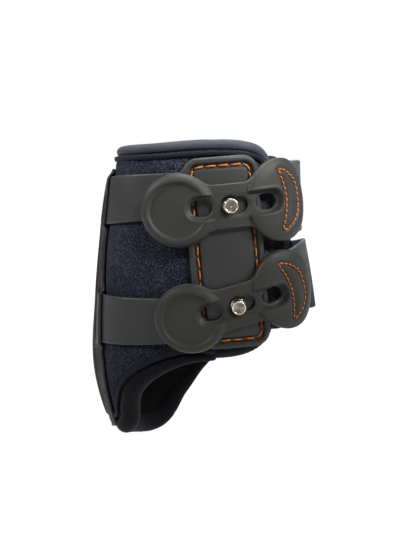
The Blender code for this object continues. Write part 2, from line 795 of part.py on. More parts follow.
def closure_plate():
    """The plate that carries the studs, in one moulding with its two arms."""
    body = bevelled(plate_of("plate", [plate_outline(0)], 0, PLATE_THICKNESS), EDGE_BEVEL)
    upper, lower = arm_middles()
    combine(body, arm("upper arm", upper, UPPER_ARM_WIDTH), "UNION")
    combine(body, arm("lower arm", lower, LOWER_ARM_WIDTH), "UNION")
    rim = plate_of(
        "rim",
        [plate_outline(MOULD_LEDGE), plate_outline(RIM_WIDTH)],
        PLATE_THICKNESS - JOIN_OVERLAP,
        JOIN_OVERLAP + RIM_RISE,
    )
    combine(body, bevelled(rim, EDGE_BEVEL), "UNION")
    groove = plate_of(
        "groove",
        [plate_outline(RIM_WIDTH + MOULD_LEDGE), plate_outline(RIM_WIDTH + GROOVE_WIDTH)],
        PLATE_THICKNESS - GROOVE_DEPTH,
        GROOVE_DEPTH + CUT_OVERRUN,
    )
    combine(body, groove, "DIFFERENCE")
    bore = STUD_SHANK_RADIUS + LAYER_GAP
    seat = WASHER_THICKNESS + LAYER_GAP
    for along, up in STUD_PLACES.values():
        hole = cylinder("hole", bore, -CUT_OVERRUN, PLATE_THICKNESS + CUT_OVERRUN)
        combine(body, moved(hole, along, up), "DIFFERENCE")
        pocket = cylinder("pocket", WASHER_RADIUS + LAYER_GAP, -CUT_OVERRUN, seat)
        combine(body, moved(pocket, along, up), "DIFFERENCE")
    sliced(body, CLOSURE_BEND_STEP, CLOSURE_HEIGHT_STEP)
    laid(body, lift=PLATE_LIFT)
    return finished(body, "closure_plate", material("plate moulding", (0.07, 0.068, 0.062), 0.45))


def square_to_wall(along, up, lift):
    """A frame on the wall, its Z square to it and its X level."""
    turn = WALL.turn_at([along], [up])
    height = np.array([up])
    out = WALL.normal(turn, height)[0]
    at = WALL.point(turn, height)[0] + lift * out
    side = np.cross([0, 0, 1], out)
    side /= np.linalg.norm(side)
    across = np.cross(out, side)
    return Matrix((
        (side[0], across[0], out[0], at[0]),
        (side[1], across[1], out[1], at[1]),
        (side[2], across[2], out[2], at[2]),
        (0, 0, 0, 1),
    ))


def stud(name, along, up):
    """A spool-shaped stud riveted through the plate."""
    top = STUD_HEIGHT
    head = top - STUD_HEAD_HEIGHT
    edge = STUD_HEAD_HEIGHT / 5
    flange = STUD_FLANGE_HEIGHT
    tail = -(PLATE_THICKNESS + LAYER_GAP)
    profile = [
        (0, top - STUD_DIMPLE_DEPTH),
        (STUD_DIMPLE_RADIUS, top),
        (STUD_HEAD_RADIUS - edge, top),
        (STUD_HEAD_RADIUS, top - edge),
        (STUD_HEAD_RADIUS, head + edge),
        (STUD_HEAD_RADIUS - 2 * edge, head),
        (STUD_NECK_RADIUS, head - edge),
        (STUD_NECK_RADIUS, flange + edge),
        (STUD_FLANGE_RADIUS - edge, flange),
        (STUD_FLANGE_RADIUS, flange - edge),
        (STUD_FLANGE_RADIUS, 0),
        (STUD_SHANK_RADIUS, 0),
        (STUD_SHANK_RADIUS, tail),
        (0, tail),
    ]
    made = turned(name, profile, ROUND_STEPS)
    made.data.transform(square_to_wall(along, up, PLATE_LIFT + PLATE_THICKNESS + LAYER_GAP))
    return finished(made, name, material(name, (0.62, 0.60, 0.56), 0.25, 1.0))


def stud_washer(name, along, up):
    """The washer behind the plate that a stud's tail is riveted into."""
    inner = STUD_SHANK_RADIUS + LAYER_GAP
    profile = [
        (inner, WASHER_THICKNESS),
        (WASHER_RADIUS, WASHER_THICKNESS),
        (WASHER_RADIUS, 0),
        (inner, 0),
        (inner, WASHER_THICKNESS),
    ]
    made = moved(turned(name, profile, ROUND_STEPS), along, up)
    laid(made, lift=PLATE_LIFT)
    return finished(made, name, material(name, (0.5, 0.5, 0.5), 0.4, 1.0))


def tab_outline():
    """The bone-shaped outline of a tab: two discs and a filleted neck, counter-clockwise."""
    half = TAB_NECK_WIDTH / 2
    fillet = TAB_NECK_FILLET

    def fillet_place(radius, offset, side):
        run = math.sqrt((radius + fillet) ** 2 - (half + fillet) ** 2)
        return offset - side * run, math.atan2(half + fillet, -side * run)

    left_x, left_angle = fillet_place(GRIP_DISC_RADIUS, -GRIP_DISC_OFFSET, -1)
    right_x, right_angle = fillet_place(STRAP_DISC_RADIUS, STRAP_DISC_OFFSET, 1)
    upper = []
    for k in range(15):
        angle = right_angle * k / 14
        upper.append((
            STRAP_DISC_OFFSET + STRAP_DISC_RADIUS * math.cos(angle),
            STRAP_DISC_RADIUS * math.sin(angle),
        ))
    neck_side = -math.pi / 2
    for k in range(1, 6):
        angle = right_angle - math.pi + (neck_side - right_angle + math.pi) * k / 5
        upper.append((right_x + fillet * math.cos(angle), half + fillet + fillet * math.sin(angle)))
    for k in range(5):
        angle = neck_side + (left_angle - math.pi - neck_side) * k / 5
        upper.append((left_x + fillet * math.cos(angle), half + fillet + fillet * math.sin(angle)))
    for k in range(15):
        angle = left_angle + (math.pi - left_angle) * k / 14
        upper.append((
            -GRIP_DISC_OFFSET + GRIP_DISC_RADIUS * math.cos(angle),
            GRIP_DISC_RADIUS * math.sin(angle),
        ))
    lower = [(x, -y) for x, y in reversed(upper[1:-1])]
    return upper + lower


def crescent_path():
    """The closed path of the sewn groove on a strap disc, from the disc's middle."""
    outer = []
    inner = []
    for share in np.linspace(-1, 1, 11):
        bow = 1 - share**2
        outer.append((CRESCENT_OUTER_BULGE * bow - CRESCENT_TIP_OFFSET, CRESCENT_HALF_HEIGHT * share))
        inner.append((CRESCENT_INNER_BULGE * bow - CRESCENT_TIP_OFFSET, CRESCENT_HALF_HEIGHT * share))
    return outer + inner[-2:0:-1]


def channel_slot(name, side, hole_end):
    """The cutter of a channel that runs from the neck to a spare hole and ends round it."""
    half = CHANNEL_WIDTH / 2
    start = side * HOLE_PITCH / 2
    middle = side * (hole_end + CHANNEL_MARGIN - half)
    loop = [(start, -half * side)]
    for k in range(9):
        angle = math.radians(-90 + 180 * k / 8)
        loop.append((middle + side * half * math.cos(angle), side * half * math.sin(angle)))
    loop.append((start, half * side))
    return plate_of(name, [loop], TAB_NECK_THICKNESS - CHANNEL_DROP, DISC_HEIGHT)


def tab(name, stud_name, slope_deg, made_of):
    """A rubber tab: a grip disc, a neck that hooks on the stud, and a disc on the strap."""
    body = bevelled(plate_of(name, [tab_outline()], 0, TAB_NECK_THICKNESS), EDGE_BEVEL)
    low = TAB_NECK_THICKNESS - JOIN_OVERLAP
    rim = GRIP_DISC_RADIUS - MOULD_LEDGE - EDGE_BEVEL
    ridge = rim - GRIP_BEVEL_WIDTH
    field = ridge - GRIP_RIDGE_WIDTH
    grip = turned(
        "grip disc",
        [
            (0, DISC_HEIGHT - GRIP_FIELD_DROP),
            (field - GRIP_FIELD_DROP, DISC_HEIGHT - GRIP_FIELD_DROP),
            (field, DISC_HEIGHT),
            (ridge, DISC_HEIGHT),
            (rim, TAB_NECK_THICKNESS + MOULD_LEDGE),
            (rim, low),
            (0, low),
        ],
        DISC_STEPS,
    )
    combine(body, moved(grip, -GRIP_DISC_OFFSET), "UNION")
    edge = STRAP_DISC_RADIUS - MOULD_LEDGE - EDGE_BEVEL
    rise = DISC_HEIGHT - TAB_NECK_THICKNESS
    dome = [(0, DISC_HEIGHT), (0.55 * edge, DISC_HEIGHT - 0.02 * rise)]
    for share in (0.76, 0.90, 1.0):
        fall = 1 - math.sqrt(max(0, 1 - ((share - 0.55) / 0.45) ** 2))
        dome.append((share * edge, TAB_NECK_THICKNESS + rise * (1 - fall) * 0.98 + MOULD_LEDGE))
    dome += [(edge, low), (0, low)]
    combine(body, moved(turned("strap disc", dome, DISC_STEPS), STRAP_DISC_OFFSET), "UNION")
    left_end = HOLE_PITCH + HOLE_RADIUS
    right_end = HOLE_PITCH + HOLE_LOBE_OFFSET + HOLE_LOBE_RADIUS
    combine(body, channel_slot("left channel", -1, left_end), "DIFFERENCE")
    combine(body, channel_slot("right channel", 1, right_end), "DIFFERENCE")
    top = DISC_HEIGHT + CUT_OVERRUN
    for along in (-HOLE_PITCH, 0, HOLE_PITCH):
        eye = cylinder("hole", HOLE_RADIUS, -CUT_OVERRUN, top)
        combine(body, moved(eye, along), "DIFFERENCE")
        lobe = cylinder("hole lobe", HOLE_LOBE_RADIUS, -CUT_OVERRUN, top)
        combine(body, moved(lobe, along + HOLE_LOBE_OFFSET), "DIFFERENCE")

    pocket_half = STRAP_WIDTH / 2 + TONGUE_SIDE_CLEARANCE
    near = tongue_start() - LAYER_GAP
    beyond = STRAP_DISC_OFFSET + STRAP_DISC_RADIUS + CUT_OVERRUN
    pocket_loop = [
        (near, -pocket_half), (beyond, -pocket_half), (beyond, pocket_half), (near, pocket_half)
    ]
    depth = STRAP_THICKNESS + 2 * LAYER_GAP
    pocket = plate_of("pocket", [pocket_loop], -CUT_OVERRUN, CUT_OVERRUN + depth)
    combine(body, pocket, "DIFFERENCE")
    groove = crescent_tube()
    combine(body, groove, "DIFFERENCE")

    along, up = STUD_PLACES[stud_name]
    moved(body, along, up, math.radians(slope_deg))
    sliced(body, TAB_BEND_STEP, TAB_HEIGHT_STEP)
    laid(body, lift=tab_lift())
    return finished(body, name, made_of)


def crescent_tube():
    """The cutter of the crescent groove: a thin closed tube lying in the disc's top."""
    curve = bpy.data.curves.new("crescent", "CURVE")
    curve.dimensions = "3D"
    curve.bevel_depth = CRESCENT_GROOVE_RADIUS
    curve.bevel_resolution = 0
    spline = curve.splines.new("POLY")
    path = crescent_path()
    spline.points.add(len(path) - 1)
    edge = STRAP_DISC_RADIUS - MOULD_LEDGE - EDGE_BEVEL
    rise = DISC_HEIGHT - TAB_NECK_THICKNESS
    for point, (x, y) in zip(spline.points, path):
        share = min(1, math.hypot(x, y) / edge)
        drop = 0
        if share > 0.55:
            drop = rise * (1 - math.sqrt(max(0, 1 - ((share - 0.55) / 0.45) ** 2)))
        point.co = (STRAP_DISC_OFFSET + x, y, DISC_HEIGHT - drop, 1)
    spline.use_cyclic_u = True
    made = settle(object_from("crescent groove", curve))

    def tidy(bm):
        bmesh.ops.remove_doubles(bm, verts=bm.verts, dist=WELD)
        bmesh.ops.recalc_face_normals(bm, faces=bm.faces)

    return edit(made, tidy)


def tab_lift():
    """How far a tab's back lies from the wall: just clear of the plate's rim."""
    return PLATE_LIFT + PLATE_THICKNESS + RIM_RISE + LAYER_GAP


def tongue_start():
    """How far the strap's sewn end reaches back under the disc, from the middle hole."""
    return tongue_end() - TONGUE_LENGTH


def tongue_end():
    """Where the sewn end meets the free strap, just inside the disc's rim."""
    return STRAP_DISC_OFFSET + STRAP_DISC_RADIUS - STRAP_THICKNESS


def strap_tongue(name, stud_name, slope_deg, made_of):
    """The end of an elastic strap, sewn into the pocket under its tab's disc."""
    half = STRAP_WIDTH / 2
    loop = [
        (tongue_start(), -half), (tongue_end(), -half), (tongue_end(), half), (tongue_start(), half)
    ]
    body = plate_of(name, [loop], 0, STRAP_THICKNESS)
    along, up = STUD_PLACES[stud_name]
    moved(body, along, up, math.radians(slope_deg))
    sliced(body, TAB_BEND_STEP, TAB_HEIGHT_STEP)
    laid(body, lift=tab_lift())
    return finished(body, name, made_of)


def strap(name, stud_name, slope_deg, end_height, made_of):
    """An elastic strap from its tab, round the front and in under the shell's front edge."""
    along, up = STUD_PLACES[stud_name]
    slope = math.radians(slope_deg)
    reach = tongue_end() + 2 * LAYER_GAP
    start = np.array([along + reach * math.cos(slope), up + reach * math.sin(slope)])
    shell_arc = (1 + SHELL_FRONT_GIRTH_SHARE) * WALL.girth(end_height)
    end = np.array([shell_arc + STRAP_UNDER_SHELL, end_height])
    length = end[0] - start[0]
    half = STRAP_WIDTH / 2
    loop = [(0, -half), (length, -half), (length, half), (0, half)]
    body = plate_of(name, [loop], 0, STRAP_THICKNESS)
    sliced(body, STRAP_STEP, STRAP_WIDTH / 2)

    def centre(x):
        t = x / length
        rise = math.tan(slope) * STRAP_TURN_LENGTH
        fall = end[1] - start[1] - rise
        turning = rise * (1 - np.exp(-x / STRAP_TURN_LENGTH))
        return start[1] + turning + fall * t * t * (3 - 2 * t)

    def place(flat):
        x = flat[:, 0]
        small = STRAP_STEP / 100
        steep = np.arctan2(centre(x + small) - centre(x - small), 2 * small)
        t = np.clip(x / length, 0, 1)
        span = STRAP_CLIMB_END_SHARE - STRAP_CLIMB_START_SHARE
        sink = np.clip((t - STRAP_CLIMB_START_SHARE) / span, 0, 1)
        sink = sink * sink * (3 - 2 * sink)
        lift = tab_lift() * (1 - sink) + LAYER_GAP * sink
        return np.column_stack([
            start[0] + x - flat[:, 1] * np.sin(steep),
            centre(x) + flat[:, 1] * np.cos(steep),
            flat[:, 2] + lift,
        ])

    laid(body, place=place)
    return finished(body, name, made_of)


def hang_on_stud(joint_name, stud_name, pieces):
    """Parents a tab and its strap's end to an empty on the stud's axis, where they pull off."""
    pivot = bpy.data.objects.new(joint_name, None)
    PARTS.objects.link(pivot)
    along, up = STUD_PLACES[stud_name]
    pivot.matrix_world = square_to_wall(along, up, tab_lift())
    bpy.context.view_layer.update()
    for piece in pieces:
        piece.parent = pivot
        piece.matrix_parent_inverse = pivot.matrix_world.inverted()


def build():
    """Makes every piece of the boot."""
    runs = liner_runs()
    liner(runs)
    soft_edges(runs)
    shock_pad(runs)
    rear_shell(runs)
    closure_plate()
    for place_name, (along, up) in STUD_PLACES.items():
        stud(f"{place_name}_stud", along, up)
        stud_washer(f"{place_name}_stud_washer", along, up)
    rubber = material("tab rubber", (0.075, 0.073, 0.067), 0.5)
    elastic = material("woven elastic", (0.075, 0.075, 0.08), 0.95)
    upper_end = UPPER_STRAP_END_SHARE * WALL_HEIGHT
    ends = {"upper": upper_end, "lower": upper_end - STRAP_WIDTH - STRAP_END_SPACING}
    slopes = {"upper": UPPER_TAB_SLOPE_DEG, "lower": LOWER_TAB_SLOPE_DEG}
    for place_name in STUD_PLACES:
        slope = slopes[place_name]
        hooked = tab(f"{place_name}_tab", place_name, slope, rubber)
        sewn = strap_tongue(f"{place_name}_strap_tongue", place_name, slope, elastic)
        hang_on_stud(f"{place_name}_tab_release", place_name, [hooked, sewn])
        strap(f"{place_name}_strap", place_name, slope, ends[place_name], elastic)


clear_scene()
PARTS = bpy.data.collections.new("fetlock_boot")
bpy.context.scene.collection.children.link(PARTS)
WALL = Wall()
STUD_PLACES = stud_places()
build()
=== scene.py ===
"""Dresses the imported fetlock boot: padded wrap, moulded shell and plate, tabs, straps and seams.

Every piece is drawn flat, as it is cut or moulded, and laid round the wall, which is the outer
face of the padded liner. A flat point has its place round the leg, its height up the leg and
its lift from the wall. The leg's axis is the world's Z, the closure side is -Y.
"""

import logging
import math
from dataclasses import dataclass, field
from enum import Enum
from typing import Callable, Sequence

import bpy
import numpy as np
from mathutils import Matrix, Vector
from mathutils.geometry import delaunay_2d_cdt


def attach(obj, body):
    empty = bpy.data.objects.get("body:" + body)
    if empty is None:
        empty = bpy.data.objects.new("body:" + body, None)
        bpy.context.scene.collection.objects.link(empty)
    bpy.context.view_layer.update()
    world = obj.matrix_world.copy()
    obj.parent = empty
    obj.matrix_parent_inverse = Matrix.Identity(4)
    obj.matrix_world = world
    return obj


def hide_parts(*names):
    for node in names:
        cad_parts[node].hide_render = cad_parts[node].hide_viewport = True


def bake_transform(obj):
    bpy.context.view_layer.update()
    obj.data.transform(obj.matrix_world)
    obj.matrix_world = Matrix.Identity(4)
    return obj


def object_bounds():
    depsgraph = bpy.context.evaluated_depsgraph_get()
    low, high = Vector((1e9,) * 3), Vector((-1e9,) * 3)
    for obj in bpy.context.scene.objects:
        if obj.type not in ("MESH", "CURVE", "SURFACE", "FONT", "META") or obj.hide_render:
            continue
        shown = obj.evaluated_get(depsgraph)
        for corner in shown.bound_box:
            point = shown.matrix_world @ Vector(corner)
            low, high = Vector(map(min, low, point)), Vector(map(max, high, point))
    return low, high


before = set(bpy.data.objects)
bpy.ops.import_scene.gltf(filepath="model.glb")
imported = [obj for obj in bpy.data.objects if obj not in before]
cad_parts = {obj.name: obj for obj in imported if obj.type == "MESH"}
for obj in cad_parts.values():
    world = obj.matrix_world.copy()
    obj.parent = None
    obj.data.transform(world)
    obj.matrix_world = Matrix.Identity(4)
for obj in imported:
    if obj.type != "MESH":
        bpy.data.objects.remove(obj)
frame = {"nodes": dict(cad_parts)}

CAD_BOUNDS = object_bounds()

logging.basicConfig(level=logging.INFO, format="%(message)s")
LOG = logging.getLogger("fetlock_boot")

Array = np.ndarray
Material = bpy.types.Material
NodeTree = bpy.types.NodeTree
Socket = bpy.types.NodeSocket
Thing = bpy.types.Object

# Wall: the liner's outer face, and the edges of the pattern on it
LEVEL_SHARES = (0.0, 0.12, 0.29, 0.51, 0.76, 1.0)
FRONT_SHARES = (0.89, 0.93, 0.985, 1.0, 0.93, 0.82)
REAR_SHARES = (0.68, 0.865, 1.0, 0.96, 0.865, 0.73)
SIDE_SHARES = (0.706, 0.765, 0.833, 0.912, 0.99, 1.0)
TOP_RUN_SHARES = (
    (-0.60, 0.962), (-0.45, 0.962), (-0.30, 0.962), (-0.17, 0.962), (-0.05, 0.962),
    (0.03, 0.970), (0.09, 0.972), (0.125, 0.968), (0.148, 0.957), (0.159, 0.929),
)
FRONT_RUN_SHARES = (
    (0.1602, 0.888), (0.157, 0.81), (0.1535, 0.70), (0.152, 0.585), (0.151, 0.495),
    (0.147, 0.455), (0.138, 0.425), (0.120, 0.402), (0.095, 0.388),
)
CUP_RUN_SHARES = (
    (0.065, 0.382), (0.035, 0.380), (0.008, 0.374), (-0.018, 0.361), (-0.048, 0.338),
    (-0.083, 0.300), (-0.111, 0.251), (-0.129, 0.190), (-0.138, 0.146), (-0.152, 0.127),
    (-0.182, 0.112), (-0.232, 0.082), (-0.280, 0.060), (-0.318, 0.063), (-0.354, 0.091),
    (-0.392, 0.140), (-0.428, 0.188), (-0.460, 0.243), (-0.492, 0.297), (-0.530, 0.343),
    (-0.575, 0.376),
)
FAR_RUN_SHARES = (
    (-0.615, 0.390), (-0.640, 0.400), (-0.655, 0.425), (-0.660, 0.460), (-0.660, 0.60),
    (-0.660, 0.75), (-0.660, 0.86), (-0.659, 0.915), (-0.652, 0.948), (-0.634, 0.961),
)
SHELL_NEAR_SHARES = (
    (-0.1560, 0.900), (-0.1550, 0.875), (-0.1510, 0.845), (-0.1490, 0.775), (-0.1560, 0.735),
    (-0.1610, 0.690), (-0.1590, 0.610), (-0.1565, 0.575), (-0.1510, 0.530), (-0.1515, 0.454),
    (-0.1520, 0.380), (-0.1590, 0.345), (-0.1570, 0.306), (-0.1590, 0.238), (-0.1595, 0.170),
)

# Layers, in metres out from the wall
LINER_THICKNESS = 0.005
PLATE_LIFT = 0.0006
PLATE_THICKNESS = 0.0023
RIM_RISE = 0.0012
ARM_THICKNESS = 0.0020
LAYER_GAP = 0.0003
SHELL_LIFT = 0.0032
SHELL_NEAR_LIFT = 0.0007
SHELL_NEAR_BEND = 0.0085
TAB_LIFT = PLATE_LIFT + PLATE_THICKNESS + RIM_RISE + LAYER_GAP

# Edges of the wrap
TOP_ROLL_RADIUS = 0.0036
CUP_ROLL_RADIUS = 0.0068
CUP_ROLL_NEAR_SHARE = 0.46
CUP_ROLL_FAR_SHARE = 0.62
CUP_ROLL_TUCK_SHARES = (0, 0, 0.25, 1, 1, 1, 0.6, 0, 0)
CLOSURE_TAPE_RADIUS = 0.0029
SHELL_TAPE_RADIUS = 0.0022
PIPING_RADIUS = 0.0011
ROLL_GAP = 0.0005
TUBE_STEP = 0.0012
TAPE_HALF_THICKNESS = 0.0028
TAPE_RIB_PITCH = 0.0024
LINER_TUCK = 0.0018
LINER_ROUNDING = 0.0018

# Closure plate
PLATE_WIDTH = 0.0445
PLATE_TOP_MARGIN = 0.0268
PLATE_BOTTOM_MARGIN = 0.0272
PLATE_TOP_RISE = 0.0021
PLATE_CORNER = 0.0095
PLATE_LEAN = math.radians(4.6)
PLATE_ARC = 0.0305
PLATE_CENTRE_SHARE = 0.672
RIM_WIDTH = 0.0040
GROOVE_WIDTH = 0.0026
GROOVE_DEPTH = 0.0012
UPPER_ARM_RISE = 0.0319
UPPER_ARM_WIDTH = 0.0305
LOWER_ARM_FALL = 0.0446
LOWER_ARM_WIDTH = 0.0325
ARM_TOP_RISE = 0.0026
ARM_BOTTOM_RISE = 0.0080
ARM_TUCK = 0.0060

# Rear shell
SHELL_FLANGE_WIDTH = 0.0065
SHELL_RELIEF_LINES = (0.0014, 0.0019, 0.0060, 0.0065, 0.0076, 0.0081, 0.0096)
SHELL_RELIEF_MM = (1.70, 1.15, 1.20, 0.55, 0.55, 1.50, 2.10)
SHELL_TOP_SHARE = 0.928
SHELL_LOWER_INSET = 0.0028
SHELL_LOWER_OVERLAP = 0.0060
SHELL_LOWER_OVERLAP_SHARES = (0, 0, 0.15, 1, 1, 1, 0.7, 0.2, 0)
SHELL_FRONT_SHARE = -0.648
GUARD_WIDTH = 0.062
GUARD_HEIGHT = 0.076
GUARD_RISE = 0.0014
GUARD_GIRTH_SHARE = -0.475
GUARD_HEIGHT_SHARE = 0.56

# Studs and tabs
STUD_SIDE_OFFSET = 0.0035
STUD_HEIGHT = 0.0076
STUD_HEAD_RADIUS = 0.00435
NECK_THICKNESS = 0.0030
NECK_WIDTH = 0.0256
NECK_FILLET = 0.0085
GRIP_RADIUS = 0.0215
GRIP_OFFSET = 0.0290
DISC_RADIUS = 0.0245
DISC_OFFSET = 0.0295
DISC_HEIGHT = 0.0062
DISC_SQUEEZES = {"upper": 0.845, "lower": 0.80}
HOLES = ((-0.0176, 0.0046, 0.0030), (0.0, 0.0056, 0.0049), (0.0186, 0.0046, 0.0030))
LOBE_RADIUS = 0.0048
CHANNEL_HALF_WIDTH = 0.0066
CHANNEL_MIDDLES = {-1: 0.0172, 1: 0.0216}
CRESCENT_TIP = 0.0024
CRESCENT_HALF_HEIGHT = 0.0182
CRESCENT_OUTER_BULGE = 0.0116
CRESCENT_INNER_BULGE = 0.0046
UPPER_SLOPE = math.radians(5.7)
LOWER_SLOPE = math.radians(16.5)
TAB_SPACING = 0.0048

# Elastic straps
STRAP_WIDTH = 0.0440
STRAP_THICKNESS = 0.0018
TONGUE_LENGTH = 0.0215
STRAP_TURN_LENGTH = 0.007
STRAP_CLIMB_START_SHARE = 0.16
STRAP_CLIMB_END_SHARE = 0.62
STRAP_UNDER_SHELL = 0.0150
STRAP_END_SPACING = 0.0070
UPPER_STRAP_END_SHARE = 0.824
STRAP_STRAIGHTNESS = {"upper": 0.7, "lower": 0.1}
STRAP_LEANS = {"upper": 0.0, "lower": -0.0022}
STRAP_BOWS = {"upper": 0.0006, "lower": 0.0016}

# Thread
PLATE_STITCH_PITCH = 0.0074
PLATE_STITCH_LENGTH = 0.0067
CRESCENT_STITCH_PITCH = 0.0034
CRESCENT_STITCH_LENGTH = 0.0030
THREAD_RADIUS = 0.00058
CRESCENT_THREAD_RADIUS = 0.00050
FINE_THREAD_RADIUS = 0.00026
SHELL_SEAM_INSET = 0.00705

# Camera, from the photograph's frame
FRAME_HEIGHT_PX = 535
FOCAL_PX = 642
SENSOR_MM = 36
CAMERA_AZIMUTH = math.radians(10)
CAMERA_ELEVATION = math.radians(7)
CAMERA_DISTANCE = 0.435
CAMERA_TARGET = (0.006, 0.0, 0.1247)


def ramp(value: Array, low: float, high: float) -> Array:
    """Rises smoothly from 0 at low to 1 at high."""
    t = np.clip((np.asarray(value, float) - low) / (high - low), 0, 1)
    return t * t * (3 - 2 * t)


def smooth_through(points: Sequence, closed: bool, pieces: int = 6) -> Array:
    """A smooth curve through points.

    Args:
        points: the places that the curve passes through.
        closed: whether the curve returns to its first point.
        pieces: how many pieces lie between two of the places.

    Returns:
        The curve's points.
    """
    points = np.asarray(points, float)
    count = len(points)
    curve = []
    for i in range(count if closed else count - 1):
        if closed:
            a, b, c, d = (points[(i + k) % count] for k in (-1, 0, 1, 2))
        else:
            a, b, c, d = (points[min(max(i + k, 0), count - 1)] for k in (-1, 0, 1, 2))
        for t in np.arange(pieces) / pieces:
            bend = 2 * b + (c - a) * t
            bend = bend + (2 * a - 5 * b + 4 * c - d) * t**2
            bend = bend + (3 * b - a - 3 * c + d) * t**3
            curve.append(bend / 2)
    if not closed:
        curve.append(points[-1])
    return np.array(curve)


def along_of(line: Array) -> Array:
    """The length from a line's start to each of its points."""
    steps = np.linalg.norm(np.diff(line, axis=0), axis=1)
    return np.concatenate([[0], np.cumsum(steps)])


def evenly(line: Array, step: float, closed: bool = False) -> Array:
    """The same line with points about one step apart; a closed line leaves out its end."""
    if closed:
        line = np.vstack([line, line[:1]])
    along = along_of(line)
    at = np.linspace(0, along[-1], max(4, round(along[-1] / step) + 1))
    even = np.stack([np.interp(at, along, line[:, k]) for k in range(line.shape[1])], axis=1)
    return even[:-1] if closed else even


def spread(values: Sequence[float], count: int, soft: int = 6) -> Array:
    """Values drawn out evenly along a run of points, their corners softened."""
    width = 2 * soft + 1
    line = np.interp(np.linspace(0, 1, count), np.linspace(0, 1, len(values)), values)
    return np.convolve(np.pad(line, soft, mode="edge"), np.ones(width) / width, "valid")


def turned_by(points: Array, angle: float, move: Sequence[float] = (0, 0)) -> Array:
    """Flat points turned about the origin and then moved."""
    c, s = math.cos(angle), math.sin(angle)
    points = np.asarray(points, float)
    return points @ np.array([[c, s], [-s, c]]) + np.asarray(move, float)


def circle(x: float, y: float, radius: float, step: float = 0.0006) -> Array:
    """Points round a circle."""
    count = max(12, round(2 * math.pi * radius / step))
    angle = np.linspace(0, 2 * math.pi, count, endpoint=False)
    return np.stack([x + radius * np.cos(angle), y + radius * np.sin(angle)], axis=1)


def rounded_polygon(corners: Sequence, radii: Sequence[float], steps: int = 8) -> Array:
    """A polygon whose corners are rounded, each with its own radius."""
    corners = np.asarray(corners, float)
    outline = []
    for i, corner in enumerate(corners):
        before = corners[i - 1] - corner
        after = corners[(i + 1) % len(corners)] - corner
        room = min(np.linalg.norm(before), np.linalg.norm(after)) / 2
        before /= np.linalg.norm(before)
        after /= np.linalg.norm(after)
        half = math.acos(np.clip(before @ after, -1, 1)) / 2
        reach = min(radii[i] / math.tan(half), room)
        start = corner + before * reach
        end = corner + after * reach
        for t in np.linspace(0, 1, steps + 1):
            weight = 2 * t * (1 - t) * math.sin(half)
            share = (1 - t) ** 2 + weight + t**2
            outline.append(((1 - t) ** 2 * start + weight * corner + t**2 * end) / share)
    return np.array(outline)


